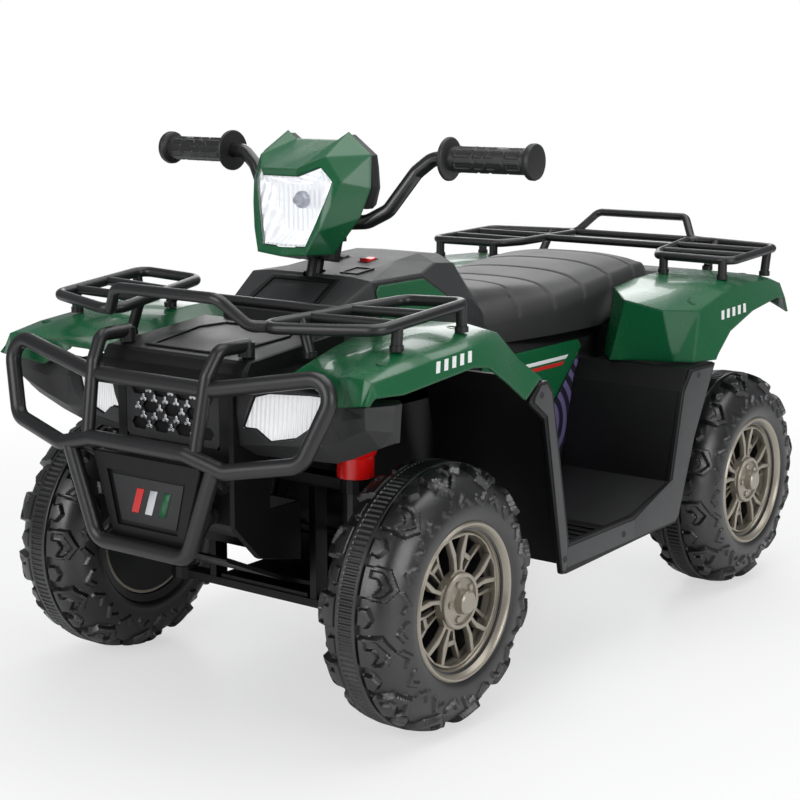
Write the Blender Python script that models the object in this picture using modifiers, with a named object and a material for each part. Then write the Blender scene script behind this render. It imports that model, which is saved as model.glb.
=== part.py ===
"""A child's electric ride-on quad bike, modelled as its separate moulded, bent and turned pieces.

X is the rider's left, Y runs from the bumper to the tail and Z is up. All sizes are in metres.
"""
import math

import bmesh
import bpy
from mathutils import Matrix, Vector
from mathutils.bvhtree import BVHTree

# Fits between pieces
GAP = 0.0003
SHAFT_CLEARANCE = 0.0004
PIN_CLEARANCE = 0.0012

# Running gear
WHEELBASE = 0.730
TRACK_HALF = 0.245
TYRE_RADIUS = 0.155
TYRE_HALF_WIDTH = 0.0575
RIM_RADIUS = 0.0911
BEAD_RADIUS = 0.0797
AXLE_RADIUS = 0.005
KINGPIN_X = 0.139
KINGPIN_RADIUS = 0.011
STEER_ARM = 0.045
LUG_COUNT = 12
SPOKE_PAIRS = 5

# Steering
COLUMN_RADIUS = 0.010
COLUMN_RAKE = math.radians(15.0)
CRANK_ARM = 0.0308
TIE_ROD_Z = 0.1905
TIE_ROD_THICKNESS = 0.003
BAR_RADIUS = 0.009
GRIP_RADIUS = 0.015
GRIP_LENGTH = 0.122
HEAD_WALL = 0.0026

# Body shells
SHELL = 0.003
TUB_HALF = 0.095
TUB_FLOOR_Z = 0.125
TUB_TOP_Z = 0.335
HOOD_HALF = 0.112
CENTRE_HALF = 0.115
CENTRE_TOP_Z = 0.385
WELL_FLOOR_Z = 0.150
WELL_OUTER_X = 0.285
WELL_SHEET = 0.004
SEAT_HALF = 0.131
REAR_DECK_HALF = 0.1355

# Tubes
BUMPER_RADIUS = 0.00925
FRONT_RACK_RADIUS = 0.0067
REAR_RACK_RADIUS = 0.0061
POST_RADIUS = 0.0065

# The origin lies midway between the bumper's front and the rear hoop's back.
BUMPER_REACH = 0.2145
HOOP_REACH = 0.1840
AXLE_Z = TYRE_RADIUS
FRONT_Y = (BUMPER_REACH + BUMPER_RADIUS - HOOP_REACH - REAR_RACK_RADIUS - WHEELBASE) / 2.0
REAR_Y = FRONT_Y + WHEELBASE

GREEN = (0.012, 0.150, 0.050)
BLACK = (0.012, 0.012, 0.013)
DARK_GREY = (0.035, 0.036, 0.038)
BRONZE = (0.230, 0.200, 0.165)
RED = (0.600, 0.010, 0.008)
STEEL = (0.450, 0.450, 0.460)
SILVER = (0.750, 0.760, 0.780)
PEARL = (0.900, 0.920, 0.950)

parts = bpy.data.collections.new("electric_ride_on_quad")
cutters = bpy.data.collections.new("cutters")
finishes = {}


def clear_scene():
    for thing in list(bpy.data.objects):
        bpy.data.objects.remove(thing, do_unlink=True)
    for group in (parts, cutters):
        bpy.context.scene.collection.children.link(group)


def finish(name, colour, roughness=0.5, metallic=0.0):
    """One plain material per finish, made the first time it is asked for."""
    if name not in finishes:
        material = bpy.data.materials.new(name)
        material.use_nodes = True
        shader = material.node_tree.nodes["Principled BSDF"]
        shader.inputs["Base Color"].default_value = (*colour, 1.0)
        shader.inputs["Roughness"].default_value = roughness
        shader.inputs["Metallic"].default_value = metallic
        material.diffuse_color = (*colour, 1.0)
        finishes[name] = material
    return finishes[name]


def green():
    return finish("gloss_green", GREEN, 0.18)


def black():
    return finish("satin_black", BLACK, 0.42)


def grey():
    return finish("textured_grey", DARK_GREY, 0.5)


def piece(name, mesh, material=None):
    """Link a mesh to the part's collection as one named object."""
    thing = bpy.data.objects.new(name, mesh)
    parts.objects.link(thing)
    if material is not None:
        mesh.materials.clear()
        mesh.materials.append(material)
    return thing


def mesh_from(name, vertices, faces):
    mesh = bpy.data.meshes.new(name)
    mesh.from_pydata([tuple(v) for v in vertices], [], faces)
    mesh.validate()
    return mesh


def face_outward(mesh):
    work = bmesh.new()
    work.from_mesh(mesh)
    bmesh.ops.recalc_face_normals(work, faces=work.faces)
    work.to_mesh(mesh)
    work.free()


def settled(thing, name=None):
    """Turn an object with its modifiers, or a curve, into plain welded mesh in world space."""
    graph = bpy.context.evaluated_depsgraph_get()
    mesh = bpy.data.meshes.new_from_object(thing.evaluated_get(graph), depsgraph=graph)
    mesh.transform(thing.matrix_world)
    work = bmesh.new()
    work.from_mesh(mesh)
    bmesh.ops.remove_doubles(work, verts=work.verts, dist=0.000002)
    bmesh.ops.dissolve_degenerate(work, edges=work.edges, dist=0.000001)
    work.to_mesh(mesh)
    work.free()
    label = name or thing.name
    materials = [slot.material for slot in thing.material_slots if slot.material]
    bpy.data.objects.remove(thing, do_unlink=True)
    return piece(label, mesh, materials[0] if materials else None)


def smooth(thing, angle=32.0):
    thing.data.shade_smooth()
    thing.data.set_sharp_from_angle(angle=math.radians(angle))
    return thing


def loft(name, sections, material=None, closed_path=False):
    """Skin closed sections of equal point count, and cap both ends unless the path is closed."""
    count = len(sections[0])
    vertices = [Vector(point) for section in sections for point in section]
    faces = []
    last = len(sections) if closed_path else len(sections) - 1
    for row in range(last):
        for column in range(count):
            a = row * count + column
            b = row * count + (column + 1) % count
            c = ((row + 1) % len(sections)) * count + (column + 1) % count
            d = ((row + 1) % len(sections)) * count + column
            faces.append((a, b, c, d))
    if not closed_path:
        faces.append(tuple(reversed(range(count))))
        faces.append(tuple(range((len(sections) - 1) * count, len(sections) * count)))
    mesh = mesh_from(name, vertices, faces)
    face_outward(mesh)
    return piece(name, mesh, material)


def sheet(name, grid, thickness, material=None, ring=False):
    """A moulded shell: a grid of points with its thickness laid to the inner side."""
    columns = len(grid[0])
    vertices = [Vector(point) for row in grid for point in row]
    faces = []
    for i in range(len(grid) - 1):
        for j in range(columns if ring else columns - 1):
            a = i * columns + j
            b = i * columns + (j + 1) % columns
            faces.append((a, b, b + columns, a + columns))
    thing = piece(name, mesh_from(name, vertices, faces), material)
    wall = thing.modifiers.new("wall", "SOLIDIFY")
    wall.thickness = thickness
    wall.offset = -1.0
    wall.use_even_offset = True
    return settled(thing)


def plate(name, outline, depth, frame, holes=(), material=None, bevel=0.0):
    """A flat outline with holes, extruded over depth = (low, high) along the frame's third axis."""
    curve = bpy.data.curves.new(name, "CURVE")
    curve.dimensions = "2D"
    curve.fill_mode = "BOTH"
    curve.extrude = (depth[1] - depth[0]) / 2.0
    for loop in [outline, *holes]:
        spline = curve.splines.new("POLY")
        spline.points.add(len(loop) - 1)
        for point, (u, v) in zip(spline.points, loop):
            point.co = (u, v, 0.0, 1.0)
        spline.use_cyclic_u = True
    thing = piece_of_curve(name, curve)
    thing.matrix_world = frame @ Matrix.Translation((0.0, 0.0, (depth[0] + depth[1]) / 2.0))
    bpy.context.view_layer.update()
    thing = settled(thing)
    face_outward(thing.data)
    if material is not None:
        thing.data.materials.append(material)
    if bevel > 0.0:
        soften(thing, bevel)
        thing = settled(thing)
    return thing


def piece_of_curve(name, curve):
    thing = bpy.data.objects.new(name, curve)
    parts.objects.link(thing)
    return thing


def soften(thing, width, segments=1, angle=30.0):
    edge = thing.modifiers.new("edge", "BEVEL")
    edge.width = width
    edge.segments = segments
    edge.limit_method = "ANGLE"
    edge.angle_limit = math.radians(angle)
    return thing


def frame_of(first, second, origin=(0.0, 0.0, 0.0)):
    """A frame whose first two axes are the outline's, so the third is their cross product."""
    a = Vector(first).normalized()
    c = a.cross(Vector(second)).normalized()
    b = c.cross(a)
    matrix = Matrix((a, b, c)).transposed().to_4x4()
    matrix.translation = Vector(origin)
    return matrix


# Outlines in the side view are (y, z) and run across X; in the front view (x, z), running to -Y.
SIDE = frame_of((0.0, 1.0, 0.0), (0.0, 0.0, 1.0))
FRONT = frame_of((1.0, 0.0, 0.0), (0.0, 0.0, 1.0))
TOP = frame_of((1.0, 0.0, 0.0), (0.0, 1.0, 0.0))


def box(name, low, high, material=None):
    bpy.ops.mesh.primitive_cube_add(size=1.0)
    thing = bpy.context.active_object
    mesh = thing.data
    bpy.data.objects.remove(thing, do_unlink=True)
    size = [high[i] - low[i] for i in range(3)]
    middle = [(high[i] + low[i]) / 2.0 for i in range(3)]
    mesh.transform(Matrix.Translation(middle) @ Matrix.Diagonal((*size, 1.0)))
    return piece(name, mesh, material)


def rod(name, start, end, radius, sides=12, material=None, end_radius=None):
    """A straight round bar or a cone between two points."""
    start = Vector(start)
    end = Vector(end)
    work = bmesh.new()
    bmesh.ops.create_cone(work, cap_ends=True, segments=sides, radius1=radius,
                          radius2=radius if end_radius is None else end_radius,
                          depth=(end - start).length)
    turn = (end - start).to_track_quat("Z", "Y").to_matrix().to_4x4()
    bmesh.ops.transform(work, matrix=Matrix.Translation((start + end) / 2.0) @ turn, verts=work.verts)
    mesh = bpy.data.meshes.new(name)
    work.to_mesh(mesh)
    work.free()
    return piece(name, mesh, material)


def turned(name, profile, steps, axis_frame, material=None, ring=False):
    """Turn (radius, height) points, listed from the top down the outer side, about the frame's Z."""
    count = len(profile)
    vertices = [(radius, 0.0, height) for radius, height in profile]
    edges = [(i, i + 1) for i in range(count - 1)]
    if ring:
        edges.append((count - 1, 0))
    mesh = bpy.data.meshes.new(name)
    mesh.from_pydata(vertices, edges, [])
    thing = piece(name, mesh)
    screw = thing.modifiers.new("turn", "SCREW")
    screw.steps = steps
    screw.render_steps = steps
    screw.use_merge_vertices = True
    screw.merge_threshold = 0.00001
    thing.matrix_world = axis_frame
    bpy.context.view_layer.update()
    thing = settled(thing)
    face_outward(thing.data)
    if material is not None:
        thing.data.materials.append(material)
    return thing


def rounded(points, radius, steps, closed=False):
    """Replace each corner of a path by an arc of the given radius."""
    corners = [Vector(p) for p in points]
    if radius <= 0.0:
        return corners
    result = []
    count = len(corners)
    for i, corner in enumerate(corners):
        if not closed and i in (0, count - 1):
            result.append(corner)
            continue
        before = corners[i - 1] - corner
        after = corners[(i + 1) % count] - corner
        angle = before.angle(after)
        if angle > math.radians(172.0):
            result.append(corner)
            continue
        reach = min(radius / math.tan(angle / 2.0), 0.48 * before.length, 0.48 * after.length)
        bend = reach * math.tan(angle / 2.0)
        bisector = (before.normalized() + after.normalized()).normalized()
        centre = corner + bisector * (bend / math.sin(angle / 2.0))
        first = corner + before.normalized() * reach - centre
        turn = math.pi - angle
        normal = first.cross(corner + after.normalized() * reach - centre).normalized()
        for k in range(steps + 1):
            result.append(centre + Matrix.Rotation(turn * k / steps, 3, normal) @ first)
    return result


def tube(name, points, radius, corner=0.0, steps=3, closed=False, material=None, resolution=2):
    """A bent tube with closed ends along a path whose corners are rounded."""
    path = rounded(points, corner, steps, closed)
    curve = bpy.data.curves.new(name, "CURVE")
    curve.dimensions = "3D"
    curve.bevel_depth = radius
    curve.bevel_resolution = resolution
    curve.use_fill_caps = True
    spline = curve.splines.new("POLY")
    spline.points.add(len(path) - 1)
    for point, place in zip(spline.points, path):
        point.co = (*place, 1.0)
    spline.use_cyclic_u = closed
    thing = settled(piece_of_curve(name, curve))
    face_outward(thing.data)
    if material is not None:
        thing.data.materials.append(material)
    return thing


def fuse(name, pieces, material=None):
    """Join overlapping solids of one moulding or weldment into one body."""
    base = pieces[0]
    group = bpy.data.collections.new(name + "_joined")
    bpy.context.scene.collection.children.link(group)
    for other in pieces[1:]:
        group.objects.link(other)
    join = base.modifiers.new("join", "BOOLEAN")
    join.operation = "UNION"
    join.operand_type = "COLLECTION"
    join.collection = group
    join.solver = "EXACT"
    bpy.context.view_layer.update()
    base.name = name + "_base"
    result = settled(base, name)
    for other in pieces[1:]:
        bpy.data.objects.remove(other, do_unlink=True)
    bpy.data.collections.remove(group)
    if material is not None:
        result.data.materials.clear()
        result.data.materials.append(material)
    return result


def cut(thing, tools):
    """Cut with each tool in turn; the tools stay in their own collection, hidden."""
    for tool in tools:
        for group in list(tool.users_collection):
            group.objects.unlink(tool)
        cutters.objects.link(tool)
        tool.hide_render = True
        tool.display_type = "WIRE"
        trim = thing.modifiers.new("cut_" + tool.name, "BOOLEAN")
        trim.operation = "DIFFERENCE"
        trim.object = tool
        trim.solver = "EXACT"
    return thing


def both_sides(left, name):
    """Name the left-hand piece and make its right-hand copy on the same mesh."""
    left = settled(left, name + "_left")
    work = bmesh.new()
    work.from_mesh(left.data)
    bmesh.ops.triangulate(work, faces=work.faces)
    work.to_mesh(left.data)
    work.free()
    right = bpy.data.objects.new(name + "_right", left.data)
    right.scale = (-1.0, 1.0, 1.0)
    parts.objects.link(right)
    return left, right


def mirrored(points):
    """Continue an open half path through X = 0 to the other side."""
    return [Vector(p) for p in points] + [Vector((-p[0], p[1], p[2])) for p in reversed(points)]


def between(table, place):
    """Read a value from (place, value) pairs by straight lines."""
    for (a, va), (b, vb) in zip(table, table[1:]):
        if place <= b:
            return va + (vb - va) * max(0.0, place - a) / (b - a)
    return table[-1][1]


def resting_height(things, x, y, radius=0.0):
    """The highest surface under a foot of the given radius, looked for from above."""
    spots = [(x, y)] + [(x + radius * math.cos(k * math.pi / 4), y + radius * math.sin(k * math.pi / 4))
                        for k in range(8)]
    graph = bpy.context.evaluated_depsgraph_get()
    best = None
    for thing in things:
        tree = BVHTree.FromObject(thing, graph)
        turn = thing.matrix_world.inverted()
        for sx, sy in spots:
            hit = tree.ray_cast(turn @ Vector((sx, sy, 1.0)), Vector((0.0, 0.0, -1.0)))[0]
            if hit is not None and (best is None or hit.z > best):
                best = hit.z
    return best


def ring_points(radius, count, centre=(0.0, 0.0), start=0.0):
    return [(centre[0] + radius * math.cos(start + 2.0 * math.pi * k / count),
             centre[1] + radius * math.sin(start + 2.0 * math.pi * k / count)) for k in range(count)]


# Wheels: blow-moulded tyre, spoked rim and pressed-in hub cap

TYRE_HALF_PROFILE = (
    # across, below the tread radius, lug height, lug lead as a share of its pitch
    (0.0135, 0.0000, 0.0000, 0.00),
    (0.0165, 0.0075, 0.0065, 0.00),
    (0.0340, 0.0110, 0.0075, 0.17),
    (0.0485, 0.0220, 0.0070, 0.02),
)
LUG_EDGES = (0.0, 0.12, 0.52, 0.64)
RIM_DISC = (0.0380, 0.0465)
HUB_RADIUS = 0.0165
CAP_HEIGHT = 0.0108
AXLE_END = 0.0510


def tyre(name):
    """Closed ring of tread band, staggered chevron lugs, side walls and beads."""
    half = [(u, TYRE_RADIUS - drop, lug, lead) for u, drop, lug, lead in TYRE_HALF_PROFILE]
    half += [(TYRE_HALF_WIDTH, RIM_RADIUS + 0.0169, 0.0, -0.05),
             (TYRE_HALF_WIDTH - 0.0030, RIM_RADIUS + 0.0009, 0.0, 0.0),
             (TYRE_HALF_WIDTH - 0.0095, BEAD_RADIUS + GAP, 0.0, 0.0)]
    rows = [(-u, r, lug, lead, -1) for u, r, lug, lead in reversed(half)]
    rows += [(u, r, lug, lead, 1) for u, r, lug, lead in half]
    sections = []
    for pitch in range(LUG_COUNT):
        for place, edge in enumerate(LUG_EDGES):
            section = []
            for u, radius, lug, lead, side in rows:
                raised = place in (1, 2) if side > 0 else place in (0, 3)
                angle = -math.pi / 2.0 + 2.0 * math.pi * (pitch + edge + lead) / LUG_COUNT
                reach = radius + (lug if raised else 0.0)
                section.append((u, reach * math.cos(angle), reach * math.sin(angle)))
            sections.append(section)
    return loft(name, sections, finish("tyre_black", (0.016, 0.016, 0.016), 0.62), closed_path=True)


def window(inner, outer, middle, inner_half, outer_half):
    """A five-cornered opening in the rim's disc, as (radius, half angle) pairs about a middle angle."""
    corners = [(inner, -inner_half), (outer, -outer_half), (outer + 0.0018, 0.0), (outer, outer_half),
               (inner, inner_half)]
    return [(r * math.cos(middle + math.radians(a)), r * math.sin(middle + math.radians(a)))
            for r, a in corners]


def rim(name):
    edge = TYRE_HALF_WIDTH
    ring = turned(name + "_ring", [(RIM_RADIUS - 0.0050, edge + 0.0003), (RIM_RADIUS, edge - 0.0003),
                                   (RIM_RADIUS, edge - 0.0027), (BEAD_RADIUS, edge - 0.0092),
                                   (BEAD_RADIUS, -edge + 0.0095), (BEAD_RADIUS - 0.0047, -edge + 0.0095),
                                   (BEAD_RADIUS - 0.0047, edge - 0.0130), (RIM_RADIUS - 0.0076, edge - 0.0030)],
                  24, SIDE, ring=True)
    spokes_reach = BEAD_RADIUS - 0.0085
    holes = []
    for pair in range(SPOKE_PAIRS):
        middle = math.pi / 2.0 + 2.0 * math.pi * pair / SPOKE_PAIRS
        holes.append(window(0.0370, spokes_reach, middle, 4.0, 7.5))
        holes.append(window(0.0330, spokes_reach, middle + math.pi / SPOKE_PAIRS, 17.0, 24.0))
    disc = plate(name + "_disc", ring_points(BEAD_RADIUS - 0.0030, 24), RIM_DISC, SIDE, holes)
    hub = rod(name + "_hub", (-0.012, 0.0, 0.0), (RIM_DISC[1] - 0.0010, 0.0, 0.0), HUB_RADIUS, 16)
    whole = fuse(name, [ring, disc, hub], finish("bronze_rim", BRONZE, 0.35, 0.7))
    bore = rod(name + "_bore", (-0.06, 0.0, 0.0), (0.08, 0.0, 0.0), AXLE_RADIUS + SHAFT_CLEARANCE, 12)
    return settled(cut(whole, [bore]))


def hub_cap(name):
    base = RIM_DISC[1] + GAP
    top = base + CAP_HEIGHT
    profile = [(0.0, top), (0.0135, top - 0.0006), (0.0180, top - 0.0040), (0.0192, base),
               (0.0070, base), (0.0070, AXLE_END + 0.0015), (0.0, AXLE_END + 0.0015)]
    return turned(name, profile, 14, SIDE, finish("bronze_rim", BRONZE, 0.35, 0.7))


def wheels():
    """One mould each for tyre, rim and cap serves all four corners; the right side is its mirror."""
    for make, label in ((tyre, "tyre"), (rim, "rim"), (hub_cap, "hub_cap")):
        first = smooth(make(label + "_front_left"))
        for end, y in (("front", FRONT_Y), ("rear", REAR_Y)):
            for side, word in ((1.0, "left"), (-1.0, "right")):
                name = f"{label}_{end}_{word}"
                thing = first if name == first.name else piece(name, first.data)
                thing.location = (side * TRACK_HALF, y, AXLE_Z)
                thing.scale = (side, 1.0, 1.0)


# Front end: sub-frame, steering knuckles, tie rod and strut sleeves

LOWER_BOSS_Z = (0.1080, 0.1235)
UPPER_BOSS_Z = (0.2600, 0.2780)
BOSS_RADIUS = 0.0180
TUB_FRONT_Y = FRONT_Y + 0.0825
COLUMN_FOOT_Z = 0.2000
COLUMN_FOOT_Y = FRONT_Y + STEER_ARM - CRANK_ARM * math.cos(COLUMN_RAKE)
COLUMN_AXIS = Vector((0.0, math.sin(COLUMN_RAKE), math.cos(COLUMN_RAKE)))


def on_column(z):
    """The point of the steering axis at height z."""
    return Vector((0.0, COLUMN_FOOT_Y + (z - COLUMN_FOOT_Z) * math.tan(COLUMN_RAKE), z))


def set_pivot(thing, point):
    """Move an object's origin onto its joint's axis."""
    thing.data.transform(Matrix.Translation(-Vector(point)))
    thing.location = point
    return thing


def front_subframe():
    y = FRONT_Y
    solids = [
        box("cross_member", (-KINGPIN_X, y - 0.012, UPPER_BOSS_Z[0] + 0.002),
            (KINGPIN_X, y + 0.012, UPPER_BOSS_Z[1] - 0.002)),
        box("column_bracket", (-0.019, y + 0.008, UPPER_BOSS_Z[0] + 0.002),
            (0.019, on_column(UPPER_BOSS_Z[1]).y + 0.022, UPPER_BOSS_Z[1] - 0.002)),
        box("lower_arm", (-KINGPIN_X, y - 0.011, LOWER_BOSS_Z[0] + 0.002),
            (KINGPIN_X, y + 0.011, LOWER_BOSS_Z[1] - 0.0035)),
        box("floor", (-0.070, y - 0.008, 0.1175), (0.070, TUB_FRONT_Y - GAP, 0.1250)),
        box("tub_hanger", (-0.070, TUB_FRONT_Y - GAP - 0.006, 0.1200), (0.070, TUB_FRONT_Y - GAP, 0.1700)),
        plate("skid", [(y - 0.1400, 0.1955), (y - 0.1365, 0.1912), (y - 0.0465, 0.1497),
                       (y + 0.0225, 0.1235), (y + 0.0225, 0.1290), (y - 0.0450, 0.1547),
                       (y - 0.1330, 0.1955)], (-0.060, 0.060), SIDE),
    ]
    for side in (-1.0, 1.0):
        x = side * KINGPIN_X
        solids.append(rod("lower_boss", (x, y, LOWER_BOSS_Z[0]), (x, y, LOWER_BOSS_Z[1]), BOSS_RADIUS, 14))
        solids.append(rod("upper_boss", (x, y, UPPER_BOSS_Z[0]), (x, y, UPPER_BOSS_Z[1]), BOSS_RADIUS, 14))
        inner, outer = sorted((side * 0.0765, side * 0.0865))
        solids.append(box("upright", (inner, y - 0.0105, 0.1120), (outer, y + 0.0105, UPPER_BOSS_Z[0] + 0.004)))
    frame = fuse("front_subframe", solids, black())
    bores = [rod("kingpin_bore_" + word, (x, y, 0.09), (x, y, 0.30), KINGPIN_RADIUS + SHAFT_CLEARANCE, 14)
             for word, x in (("left", KINGPIN_X), ("right", -KINGPIN_X))]
    bores.append(rod("column_bore", on_column(0.24), on_column(0.30), COLUMN_RADIUS + SHAFT_CLEARANCE, 14))
    return cut(frame, bores)


def knuckles():
    """Kingpin, sleeve, stub axle and steering arm in one piece for each front wheel."""
    x = KINGPIN_X
    y = FRONT_Y
    top = UPPER_BOSS_Z[1] + 0.040
    solids = [
        rod("sleeve", (x, y, LOWER_BOSS_Z[1] + GAP), (x, y, UPPER_BOSS_Z[0] - 0.0006), 0.0160, 14),
        rod("kingpin", (x, y, LOWER_BOSS_Z[0] + 0.001), (x, y, top), KINGPIN_RADIUS, 14),
        rod("stub", (x, y, AXLE_Z), (TRACK_HALF + AXLE_END, y, AXLE_Z), AXLE_RADIUS, 12),
        rod("shoulder", (x, y, AXLE_Z), (TRACK_HALF - 0.0125, y, AXLE_Z), 0.0105, 12),
        box("arm", (x - 0.0070, y, TIE_ROD_Z - 0.0100), (x + 0.0070, y + STEER_ARM + 0.0070, TIE_ROD_Z - 0.0006)),
        rod("arm_pin", (x, y + STEER_ARM, TIE_ROD_Z - 0.0030),
            (x, y + STEER_ARM, TIE_ROD_Z + TIE_ROD_THICKNESS + 0.0030), 0.0035, 10),
    ]
    left = fuse("knuckle", solids, finish("axle_steel", STEEL, 0.35, 0.8))
    left, right = both_sides(left, "knuckle")
    set_pivot(left, (x, y, AXLE_Z))
    right.location = (-x, y, AXLE_Z)


def tie_rod():
    y = FRONT_Y + STEER_ARM
    end = KINGPIN_X + 0.0100
    eye = 0.0115
    waist = 0.0055
    outline = [(-end, y - eye), (-end + 0.020, y - eye), (-end + 0.028, y - waist), (-0.020, y - waist),
               (-0.013, y - eye - 0.002), (0.013, y - eye - 0.002), (0.020, y - waist),
               (end - 0.028, y - waist), (end - 0.020, y - eye), (end, y - eye)]
    outline += [(u, 2.0 * y - v) for u, v in reversed(outline)]
    swing = STEER_ARM * (1.0 - math.cos(math.radians(20.0)))
    holes = [slot_loop(-KINGPIN_X, y, 0.0035 + PIN_CLEARANCE, 0.0035 + swing + 0.0010),
             slot_loop(KINGPIN_X, y, 0.0035 + PIN_CLEARANCE, 0.0035 + swing + 0.0010),
             slot_loop(0.0, y, 0.0035 + PIN_CLEARANCE, 0.0035 + CRANK_ARM * (1.0 - math.cos(math.radians(30.0)))
                       + 0.0012)]
    return plate("tie_rod", outline, (TIE_ROD_Z, TIE_ROD_Z + TIE_ROD_THICKNESS), TOP, holes,
                 finish("axle_steel", STEEL, 0.35, 0.8))


def slot_loop(x, y, half_x, half_y):
    """A slot with chamfered ends, listed round its edge."""
    nip = 0.5 * half_x
    return [(x - half_x, y - half_y + nip), (x - half_x + nip, y - half_y), (x + half_x - nip, y - half_y),
            (x + half_x, y - half_y + nip), (x + half_x, y + half_y - nip), (x + half_x - nip, y + half_y),
            (x - half_x + nip, y + half_y), (x - half_x, y + half_y - nip)]


def strut_caps():
    """Red sleeves over the kingpins' tops, each with a flange and a stepped skirt."""
    bottom = UPPER_BOSS_Z[1] + GAP
    bore = KINGPIN_RADIUS + 0.0015
    profile = [(0.0, bottom + 0.0560), (0.0150, bottom + 0.0560), (0.0230, bottom + 0.0400),
               (0.0255, bottom + 0.0340), (0.0255, bottom + 0.0260), (0.0225, bottom + 0.0220),
               (0.0222, bottom), (bore, bottom), (bore, bottom + 0.0445), (0.0, bottom + 0.0445)]
    place = Matrix.Translation((KINGPIN_X, FRONT_Y, 0.0))
    left = turned("strut_cap", profile, 16, place, finish("red_plastic", RED, 0.3))
    for thing in both_sides(left, "strut_cap"):
        smooth(thing)


# Chassis, centre body and foot wells

CENTRE_FRONT_Y = FRONT_Y + 0.2245
CENTRE_BACK_Y = REAR_Y - 0.1450
MOTOR_Y = REAR_Y - 0.0550
MOTOR_Z = 0.2350
MOTOR_RADIUS = 0.0180


def chassis_tub():
    """Open trough with a turned-out rim, which carries the battery, the motors and every cover."""
    front = TUB_FRONT_Y
    back = REAR_Y + 0.0925
    floor = TUB_FLOOR_Z
    outline = [(front, TUB_TOP_Z), (front, floor + 0.025), (front + 0.020, floor), (REAR_Y - 0.1675, floor),
               (REAR_Y - 0.1175, floor + 0.065), (back - 0.010, floor + 0.090), (back, floor + 0.110),
               (back, TUB_TOP_Z)]
    inside = [(front + SHELL, TUB_TOP_Z + 0.05), (front + SHELL, floor + 0.0265),
              (front + 0.0215, floor + SHELL), (REAR_Y - 0.1690, floor + SHELL),
              (REAR_Y - 0.1190, floor + 0.065 + SHELL), (back - 0.0115, floor + 0.090 + SHELL),
              (back - SHELL, floor + 0.1110), (back - SHELL, TUB_TOP_Z + 0.05)]
    solids = [plate("trough", outline, (-TUB_HALF, TUB_HALF), SIDE)]
    for low, high in ((TUB_HALF - 0.001, CENTRE_HALF - SHELL - GAP), (-CENTRE_HALF + SHELL + GAP, -TUB_HALF + 0.001)):
        solids.append(box("rim_flange", (low, CENTRE_FRONT_Y + 0.010, TUB_TOP_Z - 0.003),
                          (high, CENTRE_BACK_Y - 0.010, TUB_TOP_Z)))
    tub = fuse("chassis_tub", solids, black())
    hollow = plate("tub_hollow", inside, (-TUB_HALF + SHELL, TUB_HALF - SHELL), SIDE)
    motor_hole = rod("motor_hole", (-0.12, MOTOR_Y, MOTOR_Z), (0.12, MOTOR_Y, MOTOR_Z),
                     MOTOR_RADIUS + 0.0007, 16)
    return cut(tub, [hollow, motor_hole])


def centre_body():
    """Arched cover over the tub, between the foot wells and under the seat."""
    foot = WELL_FLOOR_Z + GAP
    section = [(-CENTRE_HALF, foot), (-CENTRE_HALF, CENTRE_TOP_Z - 0.013),
               (-CENTRE_HALF + 0.013, CENTRE_TOP_Z), (CENTRE_HALF - 0.013, CENTRE_TOP_Z),
               (CENTRE_HALF, CENTRE_TOP_Z - 0.013), (CENTRE_HALF, foot)]
    grid = [[(x, y, z) for x, z in section] for y in (CENTRE_FRONT_Y, CENTRE_BACK_Y)]
    return sheet("centre_body", grid, SHELL, black())


def strip(points, thickness):
    """The closed outline of a bent sheet of even thickness about an open centre line."""
    left = []
    right = []
    for i, (a, b) in enumerate(points):
        before = Vector(points[max(i - 1, 0)])
        after = Vector(points[min(i + 1, len(points) - 1)])
        here = Vector((a, b))
        first = (here - before).normalized() if i > 0 else (after - here).normalized()
        second = (after - here).normalized() if i < len(points) - 1 else first
        along = (first + second).normalized()
        normal = Vector((-along.y, along.x)) * (thickness / 2.0) / max(0.5, along.dot(first))
        left.append(tuple(here + normal))
        right.append(tuple(here - normal))
    return left + right[::-1]


def foot_wells():
    """Bent floor and end walls with a stiff outer frame: front strut, sill and rear guard."""
    f = FRONT_Y
    r = REAR_Y
    z = WELL_FLOOR_Z - WELL_SHEET / 2.0
    line = [(f + 0.1695, 0.3843), (f + 0.2205, z), (r - 0.3325, z), (r - 0.2325, z + 0.047),
            (r - 0.2055, z + 0.168), (r - 0.1905, 0.3435)]
    inner_x = CENTRE_HALF + GAP
    bent = plate("bent", strip(line, WELL_SHEET), (inner_x, WELL_OUTER_X), SIDE)
    frame_outline = [
        (f + 0.1405, 0.3600), (f + 0.1435, 0.3660), (f + 0.1665, 0.3820), (f + 0.1805, 0.3820),
        (f + 0.1925, 0.3680), (f + 0.2352, z + 0.0230), (r - 0.3365, z + 0.0230), (r - 0.2365, 0.1955),
        (r - 0.2085, 0.3160), (r - 0.1865, 0.3440), (r - 0.1145, 0.3440), (r - 0.1700, 0.2473),
        (r - 0.2095, 0.1424), (r - 0.2195, 0.1357), (r - 0.2905, 0.1362), (f + 0.2320, 0.1312),
        (f + 0.2195, 0.1330), (f + 0.1745, 0.3360)]
    outer = plate("frame", frame_outline, (WELL_OUTER_X - 0.004, WELL_OUTER_X + 0.004), SIDE, bevel=0.0015)
    ledge = box("ledge", (TUB_HALF + GAP, f + 0.2350, WELL_FLOOR_Z - WELL_SHEET),
                (inner_x + 0.004, r - 0.3400, WELL_FLOOR_Z))
    shelf = box("shelf", (REAR_DECK_HALF + 2.0 * GAP, r - 0.1915, 0.3415), (WELL_OUTER_X, r - 0.1160, 0.3450))
    left = fuse("foot_well", [bent, outer, ledge, shelf], black())
    both_sides(left, "foot_well")


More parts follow.
